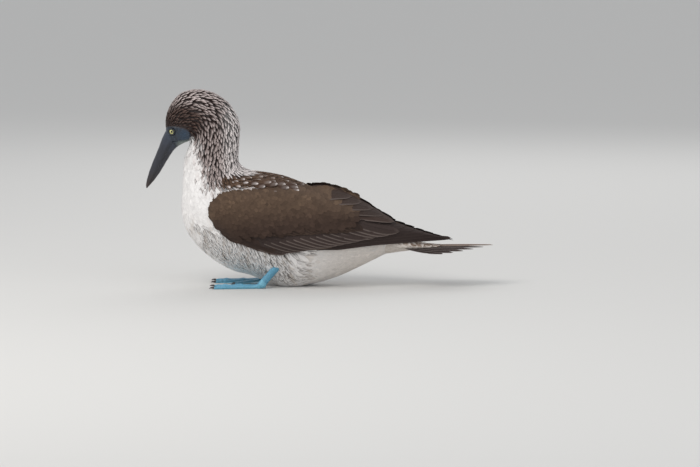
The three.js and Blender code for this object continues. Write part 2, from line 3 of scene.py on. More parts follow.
import bpy
import numpy as np
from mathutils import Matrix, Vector


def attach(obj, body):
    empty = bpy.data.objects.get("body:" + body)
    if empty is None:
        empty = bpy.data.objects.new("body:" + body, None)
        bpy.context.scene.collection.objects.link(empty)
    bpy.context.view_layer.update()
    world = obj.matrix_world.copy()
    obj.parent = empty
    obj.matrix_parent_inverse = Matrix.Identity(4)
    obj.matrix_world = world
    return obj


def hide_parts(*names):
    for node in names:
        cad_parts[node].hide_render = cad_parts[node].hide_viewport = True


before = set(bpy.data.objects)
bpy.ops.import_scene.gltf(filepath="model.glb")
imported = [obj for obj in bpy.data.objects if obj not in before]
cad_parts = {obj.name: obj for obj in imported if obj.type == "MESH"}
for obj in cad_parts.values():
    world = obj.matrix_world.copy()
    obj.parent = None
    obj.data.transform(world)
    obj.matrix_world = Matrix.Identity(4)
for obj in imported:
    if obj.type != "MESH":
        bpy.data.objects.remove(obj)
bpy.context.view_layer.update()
MM = 0.001
UPRIGHT = np.array([0.0, 0.0, 1.0])
random = np.random.default_rng(4471)

# Body sections from the root of the tail to the root of the bill: the back, the belly and
# half the width, each in the side view as (x, z).
BODY = [
    ((162, 98), (162, 54), 22),
    ((128, 118), (128, 37), 40),
    ((82, 146), (85, 17), 56),
    ((36, 168), (38, 2), 66),
    ((-8, 185), (0, -6), 70),
    ((-45, 192.5), (-38, 6), 71),
    ((-63, 195), (-66, 17.5), 70.5),
    ((-74, 198), (-98, 26), 69),
    ((-81, 202), (-130, 44), 65),
    ((-86, 208), (-159, 70), 58),
    ((-88, 217), (-177, 97), 50),
    ((-87.5, 229), (-184, 128), 43.5),
    ((-86.5, 246), (-182.5, 160), 38),
    ((-85, 264), (-181.5, 190), 34.5),
    ((-87, 281), (-179, 216), 33),
    ((-93, 294.5), (-173.5, 232), 33),
    ((-104, 309.5), (-169.5, 241), 33),
    ((-121, 323), (-170, 245), 32.5),
    ((-143, 332), (-172, 245.5), 31.5),
    ((-165, 332.5), (-175.5, 244.5), 30),
    ((-184, 326.5), (-179.5, 243), 28),
    ((-198, 313.5), (-183, 241.3), 25.5),
    ((-207, 296), (-186.5, 239.5), 22),
    ((-210.3, 280), (-189.5, 237.3), 18),
    ((-210, 264.4), (-192.5, 235), 14),
]
BILL_ROOT = len(BODY) - 1
HEAD_ROOT = 14.5
LOW_FULLNESS = 1.85
HIGH_FULLNESS = 2.2
# How the first section carries on over the root of the tail
TAIL_RUN, TAIL_TAPER = 34, 0.4


def through(pairs):
    """A smooth curve through (place, value) pairs, level beyond its ends."""
    xs, ys = np.array(pairs, float).T
    last = len(xs) - 1
    before = np.maximum(np.arange(last + 1) - 1, 0)
    after = np.minimum(np.arange(last + 1) + 1, last)
    slope = (ys[after] - ys[before]) / (xs[after] - xs[before])

    def value(x):
        x = np.clip(x, xs[0], xs[-1])
        i = np.clip(np.searchsorted(xs, x, side="right") - 1, 0, last - 1)
        h = xs[i + 1] - xs[i]
        s = (x - xs[i]) / h
        rise = s * s * (3 - 2 * s)
        turn = s * (1 - s)
        return (
            ys[i]
            + (ys[i + 1] - ys[i]) * rise
            + h * turn * ((1 - s) * slope[i] - s * slope[i + 1])
        )

    return value


def smoothstep(low, high, value):
    s = np.clip((value - low) / (high - low), 0, 1)
    return s * s * (3 - 2 * s)


def unit(vectors):
    return vectors / np.linalg.norm(vectors, axis=-1, keepdims=True)


def mesh_grid(first, second):
    return np.meshgrid(first, second, indexing="ij")


def turns(count):
    """Angles spread evenly round a full turn."""
    return np.linspace(0, 2 * math.pi, count, endpoint=False)


def curves(sections):
    """Curves along sections for the upper place, the lower place and half the width."""
    rows = [(*upper, *lower, half) for upper, lower, half in sections]
    return [through(list(enumerate(column))) for column in zip(*rows)]


BACK_X, BACK_Z, BELLY_X, BELLY_Z, HALF = curves(BODY)


def body_point(t, angle, lift=0.0):
    """Points of the body at places t along it and angles round it, raised by lift."""
    dx = BACK_X(t) - BELLY_X(t)
    dz = BACK_Z(t) - BELLY_Z(t)
    length = np.hypot(dx, dz)
    power = 2 / np.where(np.sin(angle) > 0, HIGH_FULLNESS, LOW_FULLNESS)
    round_by = lambda v: np.sign(v) * np.abs(v) ** power
    up = round_by(np.sin(angle)) * (length / 2 + lift) / length
    past = np.minimum(t, 0)
    x = (BACK_X(t) + BELLY_X(t)) / 2 + dx * up - TAIL_RUN * past
    y = -round_by(np.cos(angle)) * (HALF(t) + lift)
    z = (BACK_Z(t) + BELLY_Z(t)) / 2 + dz * up * (1 + TAIL_TAPER * past)
    return np.stack([x, y, z], -1)


def locate(x, z, start=0.0, end=HEAD_ROOT):
    """Where places in the side view lie along the body, and how far out from its middle
    they are, from -1 at the belly to 1 at the back."""
    x, z = np.broadcast_arrays(np.asarray(x, float), np.asarray(z, float))
    low, high = np.full(x.shape, float(start)), np.full(x.shape, float(end))
    for _ in range(30):
        t = (low + high) / 2
        dx = BACK_X(t) - BELLY_X(t)
        dz = BACK_Z(t) - BELLY_Z(t)
        ahead = dx * (z - BELLY_Z(t)) > dz * (x - BELLY_X(t))
        low = np.where(ahead, t, low)
        high = np.where(ahead, high, t)
    dx = BACK_X(low) - BELLY_X(low)
    dz = BACK_Z(low) - BELLY_Z(low)
    share = ((x - BELLY_X(low)) * dx + (z - BELLY_Z(low)) * dz) / (dx * dx + dz * dz)
    return low, 2 * share - 1


def flank(x, z, start=0.0, end=HEAD_ROOT):
    """Half the width of the body at places in the side view, or 0 outside its outline."""
    t, out = locate(x, z, start, end)
    power = np.where(out > 0, HIGH_FULLNESS, LOW_FULLNESS)
    width = HALF(t) * np.maximum(0, 1 - np.abs(out) ** power) ** (1 / power)
    return np.where(t < start + 1e-6, 0, width)


# Meshes from arrays
def grid_faces(rings, columns):
    """Triangles that join rings of points, each ring closed on itself."""
    r, k = mesh_grid(np.arange(rings - 1), np.arange(columns))
    p = (r * columns + k).ravel()
    q = (r * columns + (k + 1) % columns).ravel()
    lower = np.stack([p, q, q + columns], -1)
    upper = np.stack([p, q + columns, p + columns], -1)
    return np.concatenate([lower, upper])


def tube_faces(rings, columns):
    """The same with both ends closed."""
    fan = np.arange(1, columns - 1)
    last = (rings - 1) * columns
    start = np.stack([0 * fan, fan + 1, fan], -1)
    end = np.stack([0 * fan, fan, fan + 1], -1) + last
    return np.concatenate([grid_faces(rings, columns), start, end])


def add_object(name, data):
    made = bpy.data.objects.new(name, data)
    bpy.context.scene.collection.objects.link(made)
    return made


def mesh_object(name, points, faces, material, tone=None, uvs=None):
    """An object from points in millimetres and triangles, turned to face outwards.

    tone is a colour for each point. uvs holds maps with a place for each point, or for
    each corner of the triangles.
    """
    points = np.asarray(points, float).reshape(-1, 3)
    faces = np.asarray(faces, np.int32)
    a, b, c = (points[faces[:, i]] for i in range(3))
    flip = np.einsum("ij,ij->", a, np.cross(b, c)) < 0
    if flip:
        faces = faces[:, ::-1]
    corners = faces.ravel()
    mesh = bpy.data.meshes.new(name)
    mesh.vertices.add(len(points))
    mesh.vertices.foreach_set("co", (points * MM).astype(np.float32).ravel())
    mesh.loops.add(faces.size)
    mesh.loops.foreach_set("vertex_index", corners)
    mesh.polygons.add(len(faces))
    mesh.polygons.foreach_set("loop_start", np.arange(0, faces.size, 3, dtype=np.int32))
    mesh.polygons.foreach_set("use_smooth", np.full(len(faces), True))
    for label, uv in (uvs or {}).items():
        layer = mesh.uv_layers.new(name=label)
        if len(uv) == len(points):
            uv = uv[corners]
        elif flip:
            uv = uv.reshape(-1, 3, 2)[:, ::-1]
        layer.uv.foreach_set("vector", uv.astype(np.float32).ravel())
    if tone is not None:
        layer = mesh.attributes.new("tone", "FLOAT_COLOR", "POINT")
        tone = np.broadcast_to(tone, points.shape)
        shade = np.concatenate([tone, np.ones((len(points), 1))], 1)
        layer.data.foreach_set("color", shade.astype(np.float32).ravel())
    mesh.update()
    mesh.validate()
    mesh.materials.append(material)
    return add_object(name, mesh)


def finish_piece(piece, slot, *nodes):
    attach(piece, "root")
    if nodes:
        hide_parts(*nodes)
    return piece


def srgb(*values):
    """A linear colour from one as the eye reads it, 0 to 255."""
    return np.array([(v / 255) ** 2.2 for v in values])


# Materials
def new_material(name, roughness):
    material = bpy.data.materials.new(name)
    material.use_nodes = True
    nodes = material.node_tree.nodes
    shader = nodes["Principled BSDF"]
    shader.inputs["Roughness"].default_value = roughness
    return material, nodes, material.node_tree.links, shader


def math_node(nodes, links, operation, *values):
    """A sum whose inputs are constant numbers or the outputs of other nodes."""
    node = nodes.new("ShaderNodeMath")
    node.operation = operation
    for socket, value in zip(node.inputs, values):
        if isinstance(value, (int, float)):
            socket.default_value = value
        else:
            links.new(value, socket)
    return node.outputs["Value"]


def scaled(nodes, links, colour, share):
    node = nodes.new("ShaderNodeVectorMath")
    node.operation = "SCALE"
    links.new(colour, node.inputs[0])
    links.new(share, node.inputs["Scale"])
    return node.outputs["Vector"]


def tone_colour(nodes):
    tone = nodes.new("ShaderNodeAttribute")
    tone.attribute_name = "tone"
    return tone.outputs["Color"]


def tone_times_noise(nodes, links, scale, low, high):
    """The tone attribute made lighter and darker by a noise over the surface."""
    tone = tone_colour(nodes)
    where = nodes.new("ShaderNodeTexCoord")
    noise = nodes.new("ShaderNodeTexNoise")
    noise.inputs["Scale"].default_value = scale
    noise.inputs["Detail"].default_value = 4
    links.new(where.outputs["Object"], noise.inputs["Vector"])
    ramp = nodes.new("ShaderNodeMapRange")
    ramp.inputs["From Min"].default_value = 0.3
    ramp.inputs["From Max"].default_value = 0.7
    ramp.inputs["To Min"].default_value = low
    ramp.inputs["To Max"].default_value = high
    links.new(noise.outputs["Fac"], ramp.inputs["Value"])
    return scaled(nodes, links, tone, ramp.outputs["Result"])


def add_bump(nodes, links, shader, height, strength, distance):
    bump = nodes.new("ShaderNodeBump")
    bump.inputs["Strength"].default_value = strength
    bump.inputs["Distance"].default_value = distance
    links.new(height, bump.inputs["Height"])
    links.new(bump.outputs["Normal"], shader.inputs["Normal"])


def feather_material(name, roughness, barbs, spread, relief, mottle):
    """Vanes with fine slanting barbs: their UV map Vane runs across and along in cm."""
    material, nodes, links, shader = new_material(name, roughness)
    colour = tone_times_noise(nodes, links, 420, 1 - mottle, 1 + mottle)
    vane = nodes.new("ShaderNodeUVMap")
    vane.uv_map = "Vane"
    split = nodes.new("ShaderNodeSeparateXYZ")
    links.new(vane.outputs["UV"], split.inputs["Vector"])
    across = math_node(nodes, links, "ABSOLUTE", split.outputs["X"])
    slant = math_node(nodes, links, "MULTIPLY_ADD", across, -1.3, split.outputs["Y"])
    line = math_node(nodes, links, "MULTIPLY", slant, barbs)
    wave = math_node(nodes, links, "SINE", line)
    streak = nodes.new("ShaderNodeMapRange")
    streak.inputs["From Min"].default_value = -1
    streak.inputs["To Min"].default_value = 1 - spread
    streak.inputs["To Max"].default_value = 1 + spread
    links.new(wave, streak.inputs["Value"])
    tint = scaled(nodes, links, colour, streak.outputs["Result"])
    links.new(tint, shader.inputs["Base Color"])
    add_bump(nodes, links, shader, wave, relief, 0.0002)
    shader.inputs["Sheen Weight"].default_value = 0.06
    shader.inputs["Specular IOR Level"].default_value = 0.15
    return material


def skin_material(name, roughness, scale, bump):
    material, nodes, links, shader = new_material(name, roughness)
    colour = tone_times_noise(nodes, links, scale * 0.35, 0.82, 1.15)
    links.new(colour, shader.inputs["Base Color"])
    where = nodes.new("ShaderNodeTexCoord")
    cells = nodes.new("ShaderNodeTexVoronoi")
    cells.inputs["Scale"].default_value = scale
    links.new(where.outputs["Object"], cells.inputs["Vector"])
    add_bump(nodes, links, shader, cells.outputs["Distance"], bump, 0.0006)
    return material


def eye_material():
    material, nodes, links, shader = new_material("eye_gloss", 0.2)
    links.new(tone_colour(nodes), shader.inputs["Base Color"])
    shader.inputs["Specular IOR Level"].default_value = 0.3
    shader.inputs["Coat Weight"].default_value = 0.3
    shader.inputs["Coat Roughness"].default_value = 0.05
    return material


SOFT = feather_material("soft_plumage", 0.9, 90, 0.03, 0.1, 0.04)
FIRM = feather_material("flight_plumage", 0.75, 60, 0.06, 0.3, 0.1)
SKIN = skin_material("skin", 0.6, 900, 0.35)
FACE_SKIN = skin_material("face_skin", 0.45, 1300, 0.5)
BILL_HORN = skin_material("bill_horn", 0.38, 500, 0.12)
CLAW_HORN = skin_material("claw_horn", 0.4, 700, 0.15)
FOOT_SKIN = skin_material("foot_skin", 0.42, 950, 0.55)
EYE_GLOSS = eye_material()


# Colours
WHITE = srgb(236, 233, 231)
# The next two are painted shade in the white plumage's hanging folds, between its strands and low toward
# the rear under the body; the first is also the tail's own dull white.
DULL_WHITE_AND_SHADE = srgb(198, 188, 178)
FOLD_SHADE_GREY = srgb(150, 142, 138)
HACKLE_PALE = srgb(206, 191, 187)
NAPE_PALE = srgb(228, 219, 216)
HACKLE_DIM = srgb(92, 76, 70)
HACKLE_DARK = srgb(46, 31, 27)
BROWN = srgb(98, 78, 64)
DARK_BROWN = srgb(56, 42, 36)
COVERT = srgb(82, 67, 56)
COVERT_EDGE = srgb(106, 87, 71)
COVERT_DARK = srgb(60, 48, 43)
FLIGHT = srgb(63, 53, 50)
FLIGHT_EDGE = srgb(124, 112, 106)
FACE_DARK = srgb(40, 44, 52)
FACE_BLUE = srgb(58, 70, 84)
GAPE_BLUE = srgb(50, 70, 90)
THROAT_SKIN = srgb(118, 128, 122)
BILL_BASE = srgb(54, 60, 72)
BILL_MIDDLE = srgb(48, 49, 56)
BILL_TIP = srgb(58, 48, 46)
# A painted highlight along the top of the upper bill's ridge
BILL_RIDGE_HIGHLIGHT = srgb(120, 126, 132)
IRIS = srgb(206, 202, 142)
IRIS_RIM = srgb(150, 148, 92)
PUPIL = srgb(16, 16, 18)
LID = srgb(38, 42, 50)
FOOT_BLUE = srgb(92, 152, 180)
WEB_BLUE = srgb(108, 170, 192)
CLAW_GREY = srgb(72, 68, 68)

# How far a place off the midline looks lower from the camera than one on it
SIDE_DROP = 0.105

# The edge between the white throat and the streaked side of the neck, as x along z
WHITE_EDGE = through(
    [(150, -128), (165, -139), (182, -146), (199, -151), (216, -155), (233, -158), (250, -166)]
)

# The bare face, seen from the side
FACE_EDGE = [
    (-214, 262),
    (-211, 268),
    (-205, 271),
    (-197, 271.5),
    (-188, 270),
    (-178, 267),
    (-170.5, 262),
    (-169, 254),
    (-171.5, 247),
    (-177, 242),
    (-188, 236),
    (-200, 231),
]


def inside(outline, x, z):
    """How far places are inside an outline in the side view, less than 0 outside it."""
    corners = np.array(outline, float)
    best = np.full(np.shape(x), np.inf)
    crossings = np.zeros(np.shape(x), int)
    for (ax, az), (bx, bz) in zip(corners, np.roll(corners, -1, 0)):
        dx, dz = bx - ax, bz - az
        s = np.clip(((x - ax) * dx + (z - az) * dz) / (dx * dx + dz * dz), 0, 1)
        best = np.minimum(best, np.hypot(x - ax - s * dx, z - az - s * dz))
        spans = (az > z) != (bz > z)
        with np.errstate(divide="ignore", invalid="ignore"):
            crossings += spans & (x < (bx - ax) * (z - az) / (bz - az) + ax)
    return np.where(crossings % 2 == 1, best, -best)


# The wing's outline, and how far out its free rear part stands at top, middle and foot
WING_TOP = through([
    (-138, 133.5), (-136.5, 143), (-132.5, 150.5), (-122, 160), (-110, 165), (-85, 168),
    (-47, 170), (-8, 171.5), (29, 172), (68, 169), (102, 156), (144, 134), (187, 115),
    (230, 99), (263, 88), (277, 83),
])
WING_FOOT = through([
    (-138, 132.5), (-136.5, 124), (-132.5, 118.5), (-122, 106), (-110, 93), (-85, 76),
    (-47, 64.5), (-8, 59), (29, 56.5), (68, 61.5), (102, 69), (144, 73.5), (187, 76),
    (230, 78), (263, 80), (277, 82),
])
REAR_SPREAD = [
    through([(0, -40), (30, 24), (60, 22), (102, 17), (144, 12), (187, 9.5), (277, 8)]),
    through([(0, -40), (30, 66), (60, 70), (102, 61), (144, 47), (187, 34), (230, 22), (277, 10)]),
    through([(0, -40), (30, 50), (60, 64), (102, 58), (144, 45), (187, 33), (230, 22), (277, 12)]),
]
WING_FRONT, WING_BACK = -138, 277
# The lower limit of the brown back that shows between the wings
BETWEEN_WINGS = through([(0, 160), (36, 143), (82, 120), (128, 96), (162, 80)])
WING_PROUD, WING_BULGE, WING_BLEND = 3, 7, 12
WING_SWELL = through([(-138, 0), (-130, 0.6), (-112, 1)])


def blend(a, b, share):
    """Colours between two, row by row."""
    return a + (b - a) * np.clip(share, 0, 1)[:, None]


def fold_share(x, z, stray):
    """How deep in a hanging fold of the lower breast and flank each place is; it also sets the painted
    shade in the folds.
    """
    fold = np.sin(0.3 * x + 1.6 * np.sin(0.045 * z)) * np.sin(0.13 * x + 0.9)
    fold = fold + 0.5 * np.sin(0.62 * x + 0.03 * z)
    low_front = smoothstep(135, 85, z) * smoothstep(70, 10, x)
    return smoothstep(0.2, 1.3, fold + 0.4 * stray) * low_front


def plumage(points):
    """The colours of feathers rooted at these points, as root, tip and edge, with how
    streaked and how brown each place is."""
    x, y, z = points.T
    n = len(x)
    seen = z - SIDE_DROP * np.abs(y)
    stray = random.normal(0, 1, n)
    chance = random.random(n)
    streaked = smoothstep(-12, 12, x - WHITE_EDGE(seen) + 6 * stray)
    streaked *= smoothstep(142, 172, seen + 6 * stray)
    face_side = smoothstep(225, 250, seen) * smoothstep(-174, -160, x + stray)
    streaked = np.where(seen > 252, 1.0, np.maximum(streaked, face_side))
    nape = smoothstep(-122, -98, x) * (1 - smoothstep(290, 325, z))
    crown = smoothstep(296, 326, z)
    brow = smoothstep(38, 14, np.hypot((x + 180) / 1.3, z - 281))
    ear = smoothstep(12, 7, np.hypot(x + 164, z - 262))
    pale = np.clip(0.7 + 0.3 * crown + 0.3 * nape - 0.9 * np.maximum(brow, ear), 0, 1)
    front = -117 + 60 * smoothstep(182, 188, seen)
    above = np.where(x < -45, 171.5, WING_TOP(np.clip(x, WING_FRONT, WING_BACK)) - 9)
    above = np.where(x > 0, np.minimum(above, BETWEEN_WINGS(x)), above)
    saddle = smoothstep(-5, 5, x - front + 3 * stray) * smoothstep(-4, 3, z - above)
    saddle *= smoothstep(138, 104, x + 9 * stray)
    # Painted shade: the white feathers turn greyer and duller in the hanging folds and low toward the
    # rear under the body.
    fold = fold_share(x, seen, stray)
    rear = smoothstep(-30, 110, x) * smoothstep(110, 60, z)

    root = blend(np.tile(WHITE * 0.88, (n, 1)), FOLD_SHADE_GREY, 0.25 * rear + 0.75 * fold)
    tip = blend(np.tile(WHITE, (n, 1)), DULL_WHITE_AND_SHADE, 0.7 * rear + 0.7 * fold)
    edge = tip * 0.95
    light = blend(np.tile(HACKLE_DIM, (n, 1)), HACKLE_PALE, pale)
    light = blend(light, NAPE_PALE, nape)
    freckle = (chance < 0.2 + 0.8 * streaked) * streaked
    root = blend(root, HACKLE_DARK, freckle * (1 - 0.35 * nape))
    tip = blend(tip, light, streaked)
    edge = blend(edge, light, streaked)
    root = blend(root, DARK_BROWN, saddle)
    tip = blend(tip, NAPE_PALE, saddle)
    edge = blend(edge, BROWN * 1.3, saddle)
    vary = 1 + (0.045 + 0.045 * np.maximum(streaked, saddle)) * random.normal(0, 1, n)
    return root * vary[:, None], tip * vary[:, None], edge * vary[:, None], streaked, saddle


# Small feathers
def pick_apart(points, radius):
    """Which points to keep so that none lies within its radius of one kept before."""
    cell = float(np.max(radius))
    near = [(i, j, k) for i in (-1, 0, 1) for j in (-1, 0, 1) for k in (-1, 0, 1)]
    buckets, kept = {}, []
    for i, key in enumerate(map(tuple, np.floor(points / cell).astype(int))):
        px, py, pz = points[i]
        limit = radius[i] ** 2
        around = (buckets.get((key[0] + a, key[1] + b, key[2] + c), ()) for a, b, c in near)
        if any(
            (px - qx) ** 2 + (py - qy) ** 2 + (pz - qz) ** 2 < limit
            for bucket in around
            for qx, qy, qz in bucket
        ):
            continue
        buckets.setdefault(key, []).append((px, py, pz))
        kept.append(i)
    return np.array(kept)


# Width along a small feather, as (place, share)
BROAD = [(0.0, 0.5), (0.3, 0.9), (0.65, 1.0), (0.9, 0.6)]
LANCE = [(0.0, 0.6), (0.3, 0.95), (0.55, 1.0), (0.8, 0.6)]
SHOULDER = [(0.0, 0.6), (0.42, 1.0), (0.78, 0.86), (0.89, 0.58)]
RINGS = len(BROAD)
# How large each feather's own patch is on the unwrap
PATCH = 0.003


def plume_faces():
    faces = [(4 * r + k, 4 * r + 4 + k, 4 * r + (k + 1) % 4) for r in range(RINGS - 1) for k in range(4)]
    faces += [
        (4 * r + (k + 1) % 4, 4 * r + 4 + k, 4 * r + 4 + (k + 1) % 4)
        for r in range(RINGS - 1)
        for k in range(4)
    ]
    last = 4 * (RINGS - 1)
    faces += [(last + k, last + 4, last + (k + 1) % 4) for k in range(4)]
    return np.array(faces + [(0, 1, 2), (0, 2, 3)])


def plumes(name, surface, steps, place, lie, size, colours, bake, slot, shape=BROAD):
    """Many small feathers on a surface of two parameters, joined in one piece.

    steps gives the parameter steps for a millimetre along the lie and across it at a place.
    size holds length, width, height at root and at tip, thickness, how far the middle is
    crowned over the edges as a share of the width, and where the root's colour ends.
    """
    length, width, low, high, thick, crown, turn = size
    a, b = (np.array(p, float) for p in place)
    n = len(a)
    count = 4 * RINGS + 1
    corner, tone = np.zeros((n, count, 3)), np.zeros((n, count, 3))
    vane = np.zeros((n, count, 2))
    root, tip, edge = colours
    u_before = 0.0
    for r, (u, w) in enumerate([*shape, (1.0, 0.0)]):
        for _ in range(2):
            along, across = steps(a, b, lie)
            a = a + along[0] * length * (u - u_before) / 2
            b = b + along[1] * length * (u - u_before) / 2
        u_before = u
        height = low + (high - low) * (1 - (1 - u) ** 1.6)
        for k in range(4) if w else (1,):
            middle = k % 2 == 1
            bend = (-1, 0, 1, 0)[k] * w * width / 2
            rise = (0, 1, 0, -1)[k] * thick * min(1.0, w * 2) + (crown * width * w if middle else 0)
            i = 4 * r + (k if w else 0)
            corner[:, i] = surface(a + across[0] * bend, b + across[1] * bend, height + rise)
            late = 0.0 if middle else 0.14
            share = np.reshape(smoothstep(turn - 0.22 + late, turn + 0.22 + late, u), (-1, 1))
            tone[:, i] = root + ((tip if middle else edge) - root) * share
            vane[:, i] = np.stack([bend / 10 + 0 * length, u * length / 10], -1)
    faces = (plume_faces()[None] + (np.arange(n) * count)[:, None, None]).reshape(-1, 3)
    patch = vane - vane.mean(1, keepdims=True)
    patch *= PATCH / np.ptp(vane, axis=1).max(-1)[:, None, None]
    maps = {"OFBake": (bake[:, None] + patch).reshape(-1, 2), "Vane": vane.reshape(-1, 2)}
    made = mesh_object(name, corner, faces, SOFT, tone.reshape(-1, 3), maps)
    if shape is not LANCE:
        made.data.set_sharp_from_angle(angle=math.radians(60))
    ground(made)
    return finish_piece(made, slot)


# How high over the floor the lowest feathers and the skin lie
FEATHER_FLOOR, SKIN_FLOOR = 0.2, 0.3


def ground(piece):
    """Presses a piece flat where it would pass through the floor."""
    mesh = piece.data
    co = np.empty(len(mesh.vertices) * 3, np.float32)
    mesh.vertices.foreach_get("co", co)
    co = co.reshape(-1, 3)
    co[:, 2] = np.maximum(co[:, 2], FEATHER_FLOOR * MM)
    mesh.vertices.foreach_set("co", co.ravel())
    mesh.update()


def steps_on(surface, step_a, step_b):
    """Gives the steps in both parameters for a millimetre along a lie, stated in shares of
    the parameters' own directions, and for a millimetre across it."""

    def steps(a, b, lie):
        here = surface(a, b, 0.0)
        ea = (surface(a + step_a, b, 0.0) - here) / step_a
        eb = (surface(a, b + step_b, 0.0) - here) / step_b
        direction = unit(unit(ea) * lie[0][:, None] + unit(eb) * lie[1][:, None])
        normal = unit(np.cross(ea, eb))
        aa, ab, bb = (ea * ea).sum(1), (ea * eb).sum(1), (eb * eb).sum(1)
        det = aa * bb - ab * ab

        def solve(d):
            da, db = (d * ea).sum(1), (d * eb).sum(1)
            return (bb * da - ab * db) / det, (aa * db - ab * da) / det

        return solve(direction), solve(np.cross(normal, direction))

    return steps


# How many places each coat tries for its feathers
BODY_TRIES, SCAPULAR_TRIES, COVERT_TRIES, TAIL_TRIES = 150000, 30000, 24000, 9000

# Body
COAT = through([(0, 3), (8, 3.5), (12, 3), (16, 2.2), (20, 1.8), (23, 1.0), (24, 0.2)])
SKIN_RINGS = np.concatenate([np.linspace(0, 17, 150), np.linspace(17, 24, 260)[1:]])
SKIN_AROUND = 192
EYE_X, EYE_Z, EYE_RADIUS = -200.3, 263.2, 7.0
FACE_START = 18
GAPE_FRONT, GAPE_CORNER = (-199, 245.4), (-170.5, 249.5)


def body_uv(t, angle):
    """Where a place on the body lies on its unwrap, with the cut along the belly."""
    turn = ((angle + math.pi / 2) % (2 * math.pi)) / (2 * math.pi)
    return np.stack([0.02 + 0.96 * turn, 0.02 + 0.96 * t / BILL_ROOT], -1)


def face_depth(x, z):
    """How far the bare face sinks below the outline: the eye's hollow and the mouth."""
    eye = np.hypot(x - EYE_X, z - EYE_Z)
    hollow = 2.6 * smoothstep(8.5, 5.5, eye)
    (ax, az), (bx, bz) = GAPE_FRONT, GAPE_CORNER
    dx, dz = bx - ax, bz - az
    s = np.clip(((x - ax) * dx + (z - az) * dz) / (dx * dx + dz * dz), -0.3, 1)
    off = np.hypot(x - ax - s * dx, z - az - s * dz)
    groove = 1.6 * np.exp(-((off / 0.7) ** 2)) - 0.5 * np.exp(-(((off - 2.2) / 1.4) ** 2))
    ring = 0.3 * np.sin(eye * 2.4) * smoothstep(17, 9, eye) * smoothstep(6, 9, eye)
    cheek = 0.22 * np.sin(1.5 * (z - 0.35 * x)) * smoothstep(-190, -182, x)
    return hollow + groove + ring + cheek


def face_tone(x, z):
    """The bare face's colours: dark slate, bluer to the gape, pale below the mouth."""
    gape = smoothstep(15, 2, np.hypot(x + 178, (z - 257) / 1.2))
    below = smoothstep(1, -2, z - (245.4 + (x + 199) * 0.144)) * smoothstep(-196, -184, x)
    mottle = 0.5 + 0.5 * np.sin(0.9 * x + 2.1 * np.sin(0.7 * z)) * np.sin(1.1 * z)
    tone = blend(np.tile(FACE_DARK, (len(x), 1)), FACE_BLUE, 0.75 * mottle)
    tone = blend(tone, GAPE_BLUE, 0.8 * gape)
    return blend(tone, THROAT_SKIN, 0.8 * below)


def body_skin():
    t, angle = (g.ravel() for g in mesh_grid(SKIN_RINGS, turns(SKIN_AROUND) - math.pi / 2))
    surface = body_point(t, angle)
    x, z = surface[:, 0], surface[:, 2]
    bare = smoothstep(-3, 1, inside(FACE_EDGE, x, z)) * (t > 17)
    depth = COAT(t) * (1 - bare) + face_depth(x, z) * bare
    points = body_point(t, angle, -depth)
    points[:, 2] = np.maximum(points[:, 2], SKIN_FLOOR)
    root = plumage(surface)[0]
    tone = blend(root * 0.92, face_tone(x, z), bare)
    faces = tube_faces(len(SKIN_RINGS), SKIN_AROUND)
    corner_uv = body_uv(t, angle)[faces]
    wrapped = np.ptp(corner_uv[..., 0], axis=1) > 0.5
    corner_uv[..., 0] += wrapped[:, None] * (corner_uv[..., 0] < 0.5) * 0.96
    maps = {"OFBake": corner_uv.reshape(-1, 2)}
    made = mesh_object("body_skin", points, faces, FACE_SKIN, tone, maps)
    finish_piece(made, "plumage_white", "torso", "neck", "head")


def scatter(spacing, t_range, tries, stretch=1.0):
    """Roots of feathers over the body, no closer than the spacing at their place, or up to
    1 / stretch of it along the bird."""
    t_grid = np.linspace(*t_range, 400)
    a_grid = np.linspace(0, 2 * math.pi, 241)[:-1]
    tt, aa = mesh_grid(t_grid, a_grid)
    p = body_point(tt, aa)
    area = np.linalg.norm(np.cross(np.gradient(p, axis=0), np.gradient(p, axis=1)), axis=-1)
    weight = (area / spacing(tt) ** 2).ravel()
    pick = random.choice(weight.size, size=tries, p=weight / weight.sum())
    t = tt.ravel()[pick] + (random.random(tries) - 0.5) * (t_grid[1] - t_grid[0])
    a = aa.ravel()[pick] + (random.random(tries) - 0.5) * (a_grid[1] - a_grid[0])
    t = np.clip(t, t_range[0] + 1e-3, t_range[1] - 1e-3)
    keep = pick_apart(body_point(t, a) * np.array([stretch, 1, 1]), spacing(t))
    return t[keep], a[keep], body_point(t[keep], a[keep])


def under_wing(points):
    x, y, z = points.T
    x = np.clip(x, WING_FRONT, WING_BACK)
    low, high = WING_FOOT(x) + 9, WING_TOP(x) - 9
    return (points[:, 0] > -122) & (z > low) & (z < high) & (np.abs(y) > 25)


SPACING = through([(0, 3.6), (6, 3.1), (9, 3.0), (12, 3.5), (15, 4.6), (19, 4.3), (22, 2.8), (24, 1.4)])
PLUME_LENGTH = through([(0, 24), (6, 22), (9, 19), (12, 16), (16, 15), (20, 13), (23, 6), (24, 3)])
PLUME_WIDTH = through([(0, 9), (6, 8), (9, 7), (12, 7), (16, 7), (20, 4), (23, 2.4), (24, 1.4)])


BODY_STEPS = steps_on(body_point, 1e-3, 1e-3)


def shown_place(t, a, lie, length):
    """Where the part of each feather that shows lies, past its covered root."""
    along, _ = BODY_STEPS(t, a, lie)
    past = 0.6 * length
    return body_point(t + along[0] * past, a + along[1] * past)


